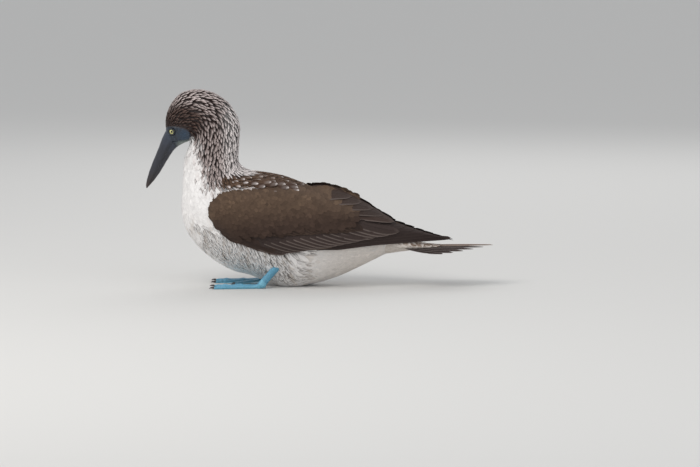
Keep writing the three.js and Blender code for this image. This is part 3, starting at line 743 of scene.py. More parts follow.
def body_plumes():
    t, a, points = scatter(SPACING, (0.05, 23.9), BODY_TRIES)
    bare = inside(FACE_EDGE, points[:, 0], points[:, 2])
    keep = (bare < -0.3) & ~under_wing(points) & (points[:, 2] > 1.5)
    t, a, points, bare = t[keep], a[keep], points[keep], bare[keep]
    n = len(t)
    x, y, z = points.T
    near_face = np.where(t > 18, smoothstep(0, 14, -bare), 1.0)
    size = (0.5 + 0.5 * near_face) * (1 + 0.12 * random.normal(0, 1, n))
    length = PLUME_LENGTH(t) * size
    hang = smoothstep(125, 85, z) * smoothstep(40, -20, x) * smoothstep(-0.98, -0.7, np.sin(a))
    droop = 0.4 + 0.7 * smoothstep(-150, -90, x)
    swing = 0.16 * random.normal(0, 1, n) - droop * hang * np.sign(np.cos(a))
    lie = (-np.cos(swing), np.sin(swing))
    root, tip, edge, streaked, saddle = plumage(shown_place(t, a, lie, length))
    tip, edge = (blend(v, BROWN, saddle) for v in (tip, edge))
    width = PLUME_WIDTH(t) * size
    width = width + (np.minimum(width, 4.3) - width) * streaked
    hang = hang * (1 - streaked)
    strand = random.random(n) < 0.9 * hang
    width = np.where(strand, 4.4, width)
    # Painted shade between the hanging strands: their roots are greyer.
    root = blend(root, FOLD_SHADE_GREY * 0.8, 0.6 * strand)
    soft = 1 - streaked
    folds = 1.5 * fold_share(x, z, 0 * x) * smoothstep(5, 40, z)
    low = -COAT(t) * streaked - (0.8 + folds) * soft
    high = (0.5 + 1.1 * random.random(n)) * streaked
    high = high + (0.05 + 0.12 * random.random(n) - folds) * soft
    high = high + (0.1 + 0.6 * random.random(n)) * strand
    thick = 0.07 + 0.13 * streaked + 0.06 * strand
    crown = 0.01 + 0.07 * streaked + 0.03 * strand
    dark = streaked > 0.5
    groups = {
        "head_hackles": dark & (t >= 16.5),
        "neck_hackles": dark & (t < 16.5),
        "throat_plumes": ~dark & ~strand & (t >= 11.5),
        "breast_plumes": ~dark & ~strand & (t < 11.5) & (t >= 7),
        "belly_plumes": ~dark & ~strand & (t < 7),
        "belly_strands": ~dark & strand,
    }
    for name, c in groups.items():
        slot = "plumage_streaked" if "hackles" in name else "plumage_white"
        shape = BROAD if "plumes" in name else LANCE
        plumes(
            name,
            body_point,
            BODY_STEPS,
            (t[c], a[c]),
            (lie[0][c], lie[1][c]),
            (length[c], width[c], low[c], high[c], thick[c], crown[c], 0.5),
            (root[c], tip[c], edge[c]),
            body_uv(t[c], a[c]),
            slot,
            shape,
        )


# How far apart the scapulars grow along the body
SCAPULAR_SPACING = through([(0, 11), (4, 9.5), (6, 7.5), (8, 5.2), (9, 4.4)])


def scapulars():
    """The larger white-tipped feathers of the back, in rows over the wing's upper edge."""
    t, a, points = scatter(SCAPULAR_SPACING, (0.4, 9.3), SCAPULAR_TRIES, 0.62)
    wide = SCAPULAR_SPACING(t)
    n = len(t)
    swing = 0.08 * random.normal(0, 1, n)
    lie = (-np.cos(swing), np.sin(swing))
    length = wide * 2.7 * (1 + 0.07 * random.normal(0, 1, n))
    shown = shown_place(t, a, lie, length)
    _, tip, edge, _, saddle = plumage(shown)
    tipped = random.random(n) < 0.7 + 0.25 * smoothstep(-110, -50, shown[:, 0])
    root = blend(np.tile(BROWN * 0.8, (n, 1)), DARK_BROWN, 0.8 * random.random(n))
    tip = np.where(tipped[:, None], tip, BROWN * 1.2)
    edge = np.where(tipped[:, None], edge, BROWN)
    rise = smoothstep(14, 2, shown[:, 2] - WING_TOP(np.clip(shown[:, 0], WING_FRONT, WING_BACK)))
    rise *= smoothstep(15, 40, np.abs(shown[:, 1]))
    keep = (saddle > 0.6) & ~under_wing(points + np.array([0, 0, -5]))
    t, a, length, wide, rise, root, tip, edge = (
        v[keep] for v in (t, a, length, wide, rise, root, tip, edge)
    )
    lie = (lie[0][keep], lie[1][keep])
    turn = 0.9 - 0.16 * smoothstep(8.5, 5, wide)
    plumes(
        "scapulars",
        body_point,
        BODY_STEPS,
        (t, a),
        lie,
        (length, wide * 1.6, -1.2 + 1.6 * rise, 0.6 + 3.6 * rise, 0.12 + 0 * t, 0.015, turn),
        (root, tip, edge),
        body_uv(t, a),
        "plumage_brown",
        SHOULDER,
    )


# Wings
GRID_X, GRID_Z = np.arange(-142, 300, 1.0), np.arange(46, 182, 1.0)


def spread_of_wing():
    """How far out the wing's outer face stands, over a grid of places in the side view."""
    x, z = mesh_grid(GRID_X, GRID_Z)
    top, foot = WING_TOP(x), WING_FOOT(x)
    v = np.clip(2 * (z - foot) / (top - foot) - 1, -1, 1)
    hugging = flank(x, z) + WING_PROUD + WING_BULGE * WING_SWELL(x) * (1 - np.abs(v) ** 3)
    high, middle, low = (f(x) for f in REAR_SPREAD)
    free = middle + np.where(v > 0, high - middle, low - middle) * v * v
    apart = hugging - free
    both = (hugging + free + np.sqrt(apart * apart + WING_BLEND**2)) / 2
    return np.where(x < 0, hugging, both)


WING_SPREAD = spread_of_wing()


def wing_out(x, z):
    i = np.clip(x - GRID_X[0], 0, len(GRID_X) - 1.001)
    j = np.clip(z - GRID_Z[0], 0, len(GRID_Z) - 1.001)
    p, q = i.astype(int), j.astype(int)
    u, v = i - p, j - q
    near = WING_SPREAD[p, q] * (1 - u) + WING_SPREAD[p + 1, q] * u
    far = WING_SPREAD[p, q + 1] * (1 - u) + WING_SPREAD[p + 1, q + 1] * u
    return near * (1 - v) + far * v


def wing_surface(side):
    """The wing's outer face: points from places in the side view, raised by lift."""

    def point(x, z, lift=0.0):
        x, z, lift = np.broadcast_arrays(*(np.asarray(v, float) for v in (x, z, lift)))
        step = 2.0
        slope_x = (wing_out(x + step, z) - wing_out(x - step, z)) / (2 * step)
        slope_z = (wing_out(x, z + step) - wing_out(x, z - step)) / (2 * step)
        outward = unit(np.stack([-slope_x, -np.ones(x.shape), -slope_z], -1))
        placed = np.stack([x, -wing_out(x, z), z], -1) + outward * lift[..., None]
        return placed * np.array([1, -side, 1])

    return point


def wing_uv(x, z):
    """Where a place on the wing's outer side lies on its unwrap."""
    return np.stack([0.02 + (x + 140) / 440, 0.52 + (z - 48) / 290], -1)


BLADE_THICK, SHAFT_PROUD = 0.34, 0.3
BLADE_COLUMNS = np.array([-1.0, -0.86, -0.74, -0.45, -0.12, 0.0, 0.12, 0.6, 1.0])
# Where a large feather starts to taper, as a share of its length, and how fast
TIP_SHAPES = {"pointed": (0.5, 1.6), "blunt": (0.78, 2.2), "round": (0.66, 2.0)}


def blade_faces(rings):
    w = len(BLADE_COLUMNS)
    count = rings * w
    r, c = mesh_grid(np.arange(rings - 1), np.arange(w - 1))
    p = (r * w + c).ravel()
    top = np.concatenate([np.stack([p, p + 1, p + 1 + w], -1), np.stack([p, p + 1 + w, p + w], -1)])
    rim = [*range(w), *(r * w + w - 1 for r in range(1, rings))]
    rim += [*range(count - 2, count - w - 1, -1), *(r * w for r in range(rings - 2, 0, -1))]
    rim = np.array(rim)
    after = np.roll(rim, -1)
    edge = [np.stack([after, rim, rim + count], -1), np.stack([after, rim + count, after + count], -1)]
    return np.concatenate([top, top[:, ::-1] + count, *edge])


def blades(name, surface, rows, bake, slot, rings=20, nodes=()):
    """Large feathers: curved, tapered vanes with a raised shaft and a few splits."""
    u = np.linspace(0, 1, rings)
    uu, vv = mesh_grid(u, BLADE_COLUMNS)
    points, tones, vanes, bakes = [], [], [], []
    for row in rows:
        root, tip = np.array(row["root"], float), np.array(row["tip"], float)
        span = tip - root
        length = np.linalg.norm(span)
        across = np.array([-span[1], span[0]]) / length
        start, power = TIP_SHAPES[row.get("shape", "round")]
        taper = np.clip((u - start) / (1 - start), 0, 1)
        wide = (0.55 + 0.45 * smoothstep(0, 0.18, u)) * (1 - taper**power) ** 0.6
        edge = np.repeat(wide[:, None], len(BLADE_COLUMNS), 1)
        for _ in range(random.integers(0, 3)):
            at = random.integers(int(rings * 0.35), rings - 2)
            edge[at, random.choice([0, -1])] *= 0.9 - 0.25 * random.random()
        edge[-1] = 0.05
        off = row["bow"] * 4 * uu * (1 - uu) + vv * edge * row["half"]
        a = root[0] + span[0] * uu + across[0] * off
        b = root[1] + span[1] * uu + across[1] * off
        rise = row["base"] + (row["lift"] - row["base"]) * np.minimum(1, row.get("climb", 1.4) * uu)
        rise = rise - row["roll"] * vv * edge - row.get("cup", 0.3) * (vv * edge) ** 2
        shaft = (vv == 0) * SHAFT_PROUD * (1 - 0.7 * uu)
        top = surface(a, b, rise + shaft)
        bottom = surface(a, b, rise - BLADE_THICK)
        fringe = smoothstep(0.76, 0.84, -vv * row.get("outer", 1)) * row["fringe"]
        fringe = np.maximum(fringe, 0.4 * row["fringe"] * smoothstep(0.9, 1.0, uu))[..., None]
        tone = row["tone"] + (row["fringe_tone"] - row["tone"]) * fringe
        tone = tone * np.where(vv == 0, row.get("shaft", 0.75), 1.0)[..., None]
        flat = np.stack([off / 10, uu * length / 10], -1).reshape(-1, 2)
        patch = np.stack([vv * PATCH / 2, (uu - 0.5) * PATCH], -1).reshape(-1, 2)
        points += [top.reshape(-1, 3), bottom.reshape(-1, 3)]
        # The undersides are painted darker, as shade.
        tones += [tone.reshape(-1, 3), tone.reshape(-1, 3) * 0.9]
        vanes += [flat, flat]
        bakes += [bake(*root) + patch] * 2
    starts = np.arange(len(rows)) * 2 * uu.size
    faces = (blade_faces(rings)[None] + starts[:, None, None]).reshape(-1, 3)
    maps = {"OFBake": np.concatenate(bakes), "Vane": np.concatenate(vanes)}
    made = mesh_object(name, np.concatenate(points), faces, FIRM, np.concatenate(tones), maps)
    made.data.set_sharp_from_angle(angle=math.radians(50))
    return finish_piece(made, slot, *nodes)


def tier(count, roots, tips, halves, tones, bows, lift, rise=0.0, stray=2.0, **rest):
    """A row of large feathers that step evenly from the first to the last."""
    rows = []
    for i in range(count):
        share = i / (count - 1)
        shade = 1 + 0.07 * random.normal()
        rows.append(
            {
                "root": [a + (b - a) * share for a, b in zip(*roots)],
                "tip": [
                    a + (b - a) * share + stray * (random.random() - 0.5) for a, b in zip(*tips)
                ],
                "half": halves[0] + (halves[1] - halves[0]) * share,
                "bow": bows[0] + (bows[1] - bows[0]) * share,
                "lift": lift + rise * i + 0.12 * random.normal(),
                "tone": tones[0] * shade,
                "fringe_tone": tones[1] * shade,
                **rest,
            }
        )
    return rows


VISIBLE_PRIMARIES = 8


def primaries():
    rows = []
    for i in range(VISIBLE_PRIMARIES):
        x = WING_BACK - 16 * i
        rows.append(
            {
                "root": (46 + 8 * i, 69 + 5.5 * i),
                "tip": (x, float(WING_TOP(x)) - 2 - 0.5 * i),
                "half": 10 - 0.2 * i,
                "lift": -5.2 + 0.36 * i,
                "base": -6.5,
                "bow": 8 - 1.2 * i,
                "roll": 0.25,
                "shape": "pointed",
                "fringe": 0.5,
                "tone": FLIGHT * 0.75,
                "fringe_tone": FLIGHT * 1.2,
            }
        )
    return rows


def wing_tiers():
    return {
        "primary_coverts": tier(
            8, [(-122, 112), (-70, 86)], [(-84, 80), (-14, 62)], (7, 8),
            (COVERT_DARK, COVERT), (-3, -4), -1.8, base=-5, roll=0.5, climb=3, fringe=0.3,
        ),
        "secondaries": tier(
            16, [(-88, 92), (96, 124)], [(-4, 62), (186, 95)], (9, 10),
            (FLIGHT, FLIGHT_EDGE), (-3, -4), -2.2, base=-5, roll=0.8, climb=3, fringe=0.5,
        ),
        "tertials": tier(
            5, [(66, 137), (24, 162)], [(176, 112), (104, 153)], (10, 11),
            (COVERT_DARK, FLIGHT_EDGE), (3, 4), 0.4, 0.4, base=-6, roll=0.5, fringe=0.35, shape="pointed",
        ),
        "greater_coverts": tier(
            19, [(-98, 120), (74, 136)], [(-54, 93), (124, 100)], (7.5, 8.5),
            (COVERT_DARK * 0.85, COVERT * 0.9), (-2, -3), -1.0, base=-4, roll=0.7, climb=3, fringe=0.6,
        ),
        "median_coverts": tier(
            22, [(-112, 138), (66, 156)], [(-84, 108), (104, 118)], (7, 8),
            (COVERT_DARK, COVERT), (-2, -2), -0.3, base=-3, roll=0.6, climb=3, stray=4, fringe=0.6,
        ),
    }


# The wing's skin along X: how far under the outer face, how far inside the outline, and
# how thick it is
SKIN_SHAVE = through([(-138, 1.5), (-110, 4.5), (60, 6.2), (236, 6.2)])
SKIN_INSET = through([(-138, 0.3), (-120, 3), (-60, 6), (60, 7), (236, 5)])
SKIN_DEPTH = through([(-138, 7), (-110, 9), (40, 9), (110, 4), (170, 2), (236, 1)])


def wing_skin(side, label):
    place = np.concatenate([[-137.4, -136, -133, -128], np.linspace(-122, 236, 60)])
    v = np.cos(np.linspace(0, math.pi, 22))
    x, vv = mesh_grid(place, v)
    shave = SKIN_SHAVE(x)
    reach = (WING_TOP(x) - WING_FOOT(x)) / 2 - SKIN_INSET(x)
    z = (WING_TOP(x) + WING_FOOT(x)) / 2 + vv * reach
    depth = SKIN_DEPTH(x) * (0.4 + 0.6 * np.sqrt(np.maximum(0, 1 - vv * vv)))
    surface = wing_surface(side)
    outer = surface(x, z, -shave)
    inner = surface(x, z, -shave - depth)[:, ::-1]
    columns = 2 * len(v)
    faces = tube_faces(len(place), columns)
    outer_uv = wing_uv(x, z)
    uv = np.concatenate([outer_uv, outer_uv[:, ::-1] - np.array([0, 0.5])], 1).reshape(-1, 2)
    points = np.concatenate([outer, inner], 1)
    made = mesh_object(f"wing_skin_{label}", points, faces, SKIN, COVERT, {"OFBake": uv})
    finish_piece(made, "plumage_brown", f"wing_{label}")


# How far back the small coverts reach, and the line in the side view that they stay above
COVERT_RUN = 246
COVERT_EDGE_LINE = through(
    [(-138, 116), (-110, 96), (-84, 100), (-40, 108), (60, 116), (96, 122), (108, 146)]
)


def lesser_coverts(side, label):
    """Small scale-like feathers over the front and upper part of the wing."""
    x = WING_FRONT + 1 + COVERT_RUN * random.random(COVERT_TRIES)
    z = WING_FOOT(x) + (WING_TOP(x) - WING_FOOT(x)) * random.random(COVERT_TRIES)
    keep = z > COVERT_EDGE_LINE(x) + 3 * random.normal(0, 1, COVERT_TRIES)
    x, z = x[keep], z[keep]
    below = smoothstep(WING_TOP(x) - 15, COVERT_EDGE_LINE(x), z)
    size = 2.5 + 1.0 * smoothstep(-130, 60, x) + 1.3 * below
    keep = pick_apart(np.stack([x * 0.7, z, 0 * x], -1), size)
    x, z, size, below = x[keep], z[keep], size[keep], below[keep]
    n = len(x)
    turn = np.radians(-20 - 10 * below + 5 * random.normal(0, 1, n))
    turn -= np.radians(30) * smoothstep(-112, -137, x)
    cos, sin = np.cos(turn), np.sin(turn)
    shade = (1 + 0.09 * random.normal(0, 1, n))[:, None]
    patch = 0.5 + 0.5 * np.sin(0.11 * x + 2 * np.sin(0.06 * z)) * np.sin(0.13 * z + 1)
    warm = 0.55 * patch * random.random(n) * (1 - below)
    tip = blend(np.tile(COVERT, (n, 1)), COVERT_EDGE, warm)
    tip = blend(tip, COVERT_DARK, 0.85 * below) * shade
    margin = np.clip(np.minimum(WING_TOP(x) - z, z - WING_FOOT(x)) / 10, 0.1, 1)
    straight = lambda a, b, lie: ((cos, sin), (-sin, cos))
    high = 0.25 + (0.35 + 0.12 * random.random(n)) * margin
    plumes(
        f"lesser_coverts_{label}",
        wing_surface(side),
        straight,
        (x, z),
        None,
        (size * 4.4, size * 2.3, -0.3 + 0 * x, high, 0.07 + 0 * x, 0.0, 0.45),
        (tip * 0.88, tip, tip * 1.12),
        wing_uv(x, z),
        "plumage_brown",
    )


def wings():
    for side, label in ((-1, "left"), (1, "right")):
        wing_skin(side, label)
        surface = wing_surface(side)
        blades(f"primaries_{label}", surface, primaries(), wing_uv, "plumage_brown", 34)
        for name, rows in wing_tiers().items():
            blades(f"{name}_{label}", surface, rows, wing_uv, "plumage_brown")
        lesser_coverts(side, label)


# Tail
TAIL_END, TAIL_PAIRS = 345, 6
TAIL_LEVEL = through([(162, 76), (190, 71), (225, 67.8), (345, 68)])
TAIL_HALF = through([(150, 24), (162, 22), (190, 26), (225, 25), (250, 18)])
TAIL_THICK = through([(150, 24), (162, 21), (190, 12), (215, 6), (250, 1.5)])


def tail_point(x, y, lift=0.0):
    x, y, lift = np.broadcast_arrays(*(np.asarray(v, float) for v in (x, y, lift)))
    return np.stack([x, y, TAIL_LEVEL(x) - 0.0016 * y * y + lift], -1)


def tail_base(x, angle, lift=0.0):
    """Points round the short fleshy root of the tail."""
    y = -np.cos(angle) * (TAIL_HALF(x) + lift)
    return np.stack([x, y, TAIL_LEVEL(x) + np.sin(angle) * (TAIL_THICK(x) + lift)], -1)


def tail_uv(x, y):
    return np.stack([0.05 + (x - 150) / 230, 0.5 + y / 120], -1)


def tail_base_uv(x, angle):
    return np.stack([(x - 140) / 130, 0.02 + angle / 6.6], -1)


def rectrices():
    rows = []
    for i in reversed(range(TAIL_PAIRS)):
        for side in (-1, 1):
            turn = side * math.radians(1.6 + 4.4 * i)
            length = (TAIL_END - 205) * (1 - 0.115 * i) - (3 if side > 0 else 0) + 9
            root = (196, side * (3 + 3 * i))
            rows.append(
                {
                    "root": root,
                    "tip": (root[0] + math.cos(turn) * length, root[1] + math.sin(turn) * length),
                    "half": 10.5,
                    "bow": 0,
                    "lift": 2 - 1.5 * i - (0.75 if side > 0 else 0),
                    "base": 1 - 0.9 * i,
                    "roll": 0.3 * side,
                    "cup": -0.25,
                    "outer": -side,
                    "shape": "pointed",
                    "fringe": 0.5,
                    "tone": FLIGHT if i else BROWN,
                    "fringe_tone": FLIGHT_EDGE if i else DULL_WHITE_AND_SHADE,
                    "shaft": 1.6,
                }
            )
    return rows


TAIL_SKIN, TAIL_SKIN_SHAPE = (152, 250), (40, 48)
TAIL_SHAVE = 2.0
TAIL_COAT_START, TAIL_COAT_RUN, TAIL_COAT_GAP = 148, 88, 3.4


def tail():
    blades("tail_feathers", tail_point, rectrices(), tail_uv, "plumage_tail", 28, ["tail"])
    rings, around = TAIL_SKIN_SHAPE
    x, angle = mesh_grid(np.linspace(*TAIL_SKIN, rings), turns(around))
    uv = tail_base_uv(x, angle).reshape(-1, 2)
    points = tail_base(x, angle, -TAIL_SHAVE)
    skin = mesh_object("tail_skin", points, tube_faces(rings, around), SKIN, DULL_WHITE_AND_SHADE, {"OFBake": uv})
    finish_piece(skin, "plumage_white")
    x = TAIL_COAT_START + TAIL_COAT_RUN * random.random(TAIL_TRIES)
    angle = 2 * math.pi * random.random(TAIL_TRIES)
    keep = pick_apart(tail_base(x, angle), np.full(TAIL_TRIES, TAIL_COAT_GAP))
    x, angle = x[keep], angle[keep]
    n = len(x)
    upper = smoothstep(-0.1, 0.4, np.sin(angle))
    brown = upper * (random.random(n) < 0.55)
    root = blend(np.tile(DULL_WHITE_AND_SHADE, (n, 1)), BROWN, 0.9 * upper)
    tip = blend(np.tile(WHITE * 0.3 + DULL_WHITE_AND_SHADE * 0.7, (n, 1)), COVERT_EDGE, brown)
    swing = 0.1 * random.normal(0, 1, n)
    length = 15 + 9 * random.random(n)
    plumes(
        "tail_coverts",
        tail_base,
        steps_on(tail_base, 1e-2, 1e-3),
        (x, angle),
        (np.cos(swing), np.sin(swing)),
        (length, length * 0.36, np.full(n, -1.5), np.full(n, 0.8), np.full(n, 0.1), 0.03, 0.76),
        (root, tip, tip),
        tail_base_uv(x, angle),
        "plumage_tail",
    )


# Bill: its ridge and its lower edge from root to tip, and half its width
BILL = [
    ((-210, 264.4), (-192.5, 235), 14),
    ((-215.9, 252.5), (-198.5, 228.5), 12),
    ((-223.9, 231.7), (-205.5, 217.8), 10.4),
    ((-231.5, 213.4), (-212.8, 205.8), 9),
    ((-238, 196.4), (-220.5, 193), 7.4),
    ((-242.6, 181), (-230, 180), 5.4),
    ((-244.3, 171.5), (-237.5, 171.5), 3.2),
    ((-243.9, 166), (-242.3, 166.2), 1),
]
MOUTH, MOUTH_SLIT = 0.65, 0.06
LOWER_BILL_SHARE = 0.94
BILL_RINGS, BILL_ARC, BILL_FLAT = 150, 61, 9


def mandible(upper):
    """Half of the bill: round along the ridge or the lower edge, flat along the mouth."""
    t = np.linspace(0, len(BILL) - 1, BILL_RINGS)
    ridge_x, ridge_z, edge_x, edge_z, half = (curve(t) for curve in curves(BILL))
    ridge, edge = np.stack([ridge_x, ridge_z], -1), np.stack([edge_x, edge_z], -1)
    half = half * (1 if upper else LOWER_BILL_SHARE)
    mouth = ridge + (edge - ridge) * MOUTH
    reach = (ridge if upper else edge) - mouth
    tall = np.linalg.norm(reach, axis=1)[:, None]
    start = mouth + reach / tall * MOUTH_SLIT / 2
    reach = reach * (1 - MOUTH_SLIT / 2 / tall)
    angle = np.linspace(0, math.pi, BILL_ARC)
    tt, aa = mesh_grid(t / (len(BILL) - 1), angle)
    side = np.minimum(aa, math.pi - aa)
    fade = smoothstep(0, 0.06, tt) * smoothstep(0.86, 0.6, tt)
    groove = 0.5 * np.exp(-(((side - (1.12 if upper else 0.75)) / 0.07) ** 2)) * fade
    teeth = 0.12 * np.abs(np.sin(170 * tt)) * np.exp(-((side / 0.12) ** 2))
    plates = 0.1 * np.sin(46 * tt + 2 * side) * fade
    sink = groove + teeth + plates
    up = np.sin(aa) ** 0.8
    share = up * (1 - sink / np.maximum(tall, 3))
    xz = start[:, None] + reach[:, None] * share[..., None]
    y = -np.cos(aa) * (half[:, None] - sink)
    arc = np.stack([xz[..., 0], y, xz[..., 1]], -1)
    flat = np.linspace(0, 1, BILL_FLAT + 2)[1:-1][None, :, None]
    points = np.concatenate([arc, arc[:, -1:] + (arc[:, :1] - arc[:, -1:]) * flat], 1)
    tone = BILL_BASE + (BILL_MIDDLE - BILL_BASE) * smoothstep(0, 0.3, tt)[..., None]
    tone = tone + (BILL_TIP - tone) * smoothstep(0.45, 0.9, tt)[..., None]
    # Painted highlight along the top of the upper bill's ridge.
    if upper:
        tone = tone + (BILL_RIDGE_HIGHLIGHT - tone) * (0.65 * smoothstep(1.2, 1.5, side))[..., None]
    # Painted shade: darker along the mouth line and in the grooves, and the mouth's flat inner faces are
    # dark.
    mouth_shade = 0.4 * smoothstep(0.25, 0.05, side)
    tone = tone * (1 - mouth_shade - 0.4 * np.minimum(1, 2 * groove))[..., None]
    tone = np.concatenate([tone, np.tile(BILL_TIP * 0.6, (len(t), BILL_FLAT, 1))], 1)
    name, node = ("upper_bill", "bill_upper") if upper else ("lower_bill", "bill_lower")
    faces = tube_faces(BILL_RINGS, BILL_ARC + BILL_FLAT)
    made = mesh_object(name, points, faces, BILL_HORN, tone.reshape(-1, 3))
    made.data.set_sharp_from_angle(angle=math.radians(40))
    finish_piece(made, "bill", node)


# Eyes
LID_ALONG, LID_TALL, LID_TUBE = 5.7, 5.2, 1.0
IRIS_EDGE, PUPIL_EDGE = 4.7, 1.8
GAZE_SIDE = 0.4
EYE_PROUD = 1.3
GLOBE_RINGS, GLOBE_AROUND = 160, 72
LID_RINGS, LID_AROUND = 96, 28


def eye_axes():
    """The middle of the left eye's opening, the way out, and two axes across."""
    step = 0.4
    spot = lambda x, z: np.array([x, -float(flank(x, z, FACE_START, BILL_ROOT)), z])
    along = spot(EYE_X + step, EYE_Z) - spot(EYE_X - step, EYE_Z)
    upward = spot(EYE_X, EYE_Z + step) - spot(EYE_X, EYE_Z - step)
    outward = unit(np.cross(along, upward))
    across = unit(np.cross(UPRIGHT, outward))
    return spot(EYE_X, EYE_Z), outward, across, np.cross(outward, across)


def eyes():
    spot, outward, across, upward = eye_axes()
    centre = spot + outward * (EYE_PROUD - EYE_RADIUS)
    gaze = unit(outward * (1 - GAZE_SIDE) + np.array([0, -1.0, 0]) * GAZE_SIDE)
    level = unit(np.cross(UPRIGHT, gaze))
    fall = np.linspace(0.004, math.pi - 0.004, GLOBE_RINGS)
    ff, tt = mesh_grid(fall, turns(GLOBE_AROUND))
    ring = level * np.cos(tt)[..., None] + np.cross(gaze, level) * np.sin(tt)[..., None]
    cornea = 0.25 * smoothstep(0.7, 0.2, ff)[..., None]
    globe = gaze * np.cos(ff)[..., None] + ring * np.sin(ff)[..., None]
    globe = centre + globe * (EYE_RADIUS + cornea)
    off = EYE_RADIUS * np.sin(ff) + 3 * EYE_RADIUS * (ff > math.pi / 2)
    ray = 0.5 + 0.5 * np.sin(31 * tt + 2 * np.sin(17 * tt))
    iris = IRIS + (IRIS_RIM - IRIS) * (0.35 * ray + 0.65 * smoothstep(3.6, IRIS_EDGE, off))[..., None]
    tone = iris + (PUPIL - iris) * smoothstep(PUPIL_EDGE + 0.12, PUPIL_EDGE - 0.12, off)[..., None]
    tone = tone + (PUPIL - tone) * smoothstep(IRIS_EDGE - 0.1, IRIS_EDGE + 0.2, off)[..., None]
    pp, qq = mesh_grid(turns(LID_RINGS), turns(LID_AROUND))
    fold = 1 + 0.1 * np.sin(3 * qq) * np.sin(9 * pp) + 0.12 * np.sin(pp)
    thick = LID_TUBE * fold
    reach = np.cos(qq) * thick * 1.25
    lid = (
        spot
        + across * ((LID_ALONG + reach) * np.cos(pp))[..., None]
        + upward * ((LID_TALL + reach) * np.sin(pp))[..., None]
        + outward * (0.1 + np.sin(qq) * thick * 0.9)[..., None]
    )
    for side, label in ((-1, "left"), (1, "right")):
        mirror = np.array([1, -side, 1])
        faces = tube_faces(GLOBE_RINGS, GLOBE_AROUND)
        shade = tone.reshape(-1, 3)
        eye = mesh_object(f"eyeball_{label}", globe * mirror, faces, EYE_GLOSS, shade)
        finish_piece(eye, "eye", f"eye_{label}")
        closing = grid_faces(LID_RINGS + 1, LID_AROUND) % (LID_RINGS * LID_AROUND)
        lids = mesh_object(f"lids_{label}", lid * mirror, closing, FACE_SKIN, LID)
        finish_piece(lids, "bill")


# Legs and feet, with each toe's length, its angle inwards from straight ahead and girth
HEEL, ANKLE = np.array([-47, -50, 7.5]), np.array([-13, -50, 46.5])
THICKEST_TOE = 3.8
TOES = [(27, 98, 2.6), (62, 40, 3.3), (84, 15, THICKEST_TOE), (82, -8, 3.6)]
TOE_SHAPE = [
    (0, 1.2), (0.2, 0.95), (0.34, 0.85), (0.42, 1), (0.5, 0.82), (0.62, 0.76), (0.7, 0.74),
    (0.77, 0.9), (0.84, 0.7), (0.93, 0.68), (0.97, 0.6), (1, 0.3),
]
LEG_SHAPE = [
    (-0.02, 1.15, 0.98), (0.17, 1.15, 0.98), (0.35, 0.95, 0.92), (0.6, 0.95, 0.95),
    (0.85, 1.05, 1.08), (1, 1.15, 1.2),
]
LEG_DEEP, LEG_WIDE = 6.6, 4.2
WEB_THICK = 1.4
CLAW = 8
SCUTE = 2.4
FOOT_GRAIN = 0.7
CLAW_AROUND = 18
CLAW_SHAPE = through([(0, 0.5), (0.3, 0.48), (0.65, 0.33), (0.9, 0.16), (1, 0.04)])


def toe_way(angle):
    turn = math.radians(angle)
    return np.array([-math.cos(turn), math.sin(turn), 0])


def tube(path, wide, deep, around=20):
    """Points and triangles of a closed tube of oval section along a path."""
    path = np.array(path, float)
    ahead = unit(np.gradient(path, axis=0))
    side = unit(np.cross(ahead, UPRIGHT))
    over = np.cross(side, ahead)
    angle = turns(around)
    wide, deep = (np.array(v, float)[:, None, None] for v in (wide, deep))
    ring = side[:, None] * np.cos(angle)[None, :, None] * wide
    ring = ring + over[:, None] * np.sin(angle)[None, :, None] * deep
    return (path[:, None] + ring).reshape(-1, 3), tube_faces(len(path), around)


def web():
    """The sheet between the toes, pleated along them, its free edges drawn in."""
    tips = [HEEL + toe_way(angle) * length * 0.985 for length, angle, _ in TOES]
    rim = []
    for a, b in zip(tips, tips[1:]):
        bend = (a + b) / 2 + (HEEL - (a + b) / 2) * 0.2
        s = np.linspace(0, 1, 24)[:, None]
        rim.append(a * (1 - s) ** 2 + bend * 2 * s * (1 - s) + b * s**2)
    rim = np.concatenate(rim)
    share = np.linspace(0, 1, 40)
    xy = HEEL + (rim[:, None] - HEEL) * share[None, :, None]
    pleat = 0.18 * np.sin(np.arange(len(rim)) * 1.05)[:, None] * np.sin(math.pi * share)[None]
    top, bottom = xy.copy(), xy.copy()
    top[..., 2] = WEB_THICK + pleat + 1.6 * (1 - share) ** 3
    bottom[..., 2] = 0.25
    points = np.concatenate([top, bottom[:, ::-1]], 1)
    return points.reshape(-1, 3), tube_faces(len(rim), 2 * len(share))


def ball(centre, sizes, around=24):
    fall = np.linspace(0.05, math.pi - 0.05, around)
    ff, tt = mesh_grid(fall, turns(around))
    way = np.stack([np.sin(ff) * np.cos(tt), np.sin(ff) * np.sin(tt), np.cos(ff)], -1)
    return (centre + way * sizes).reshape(-1, 3), tube_faces(around, around)


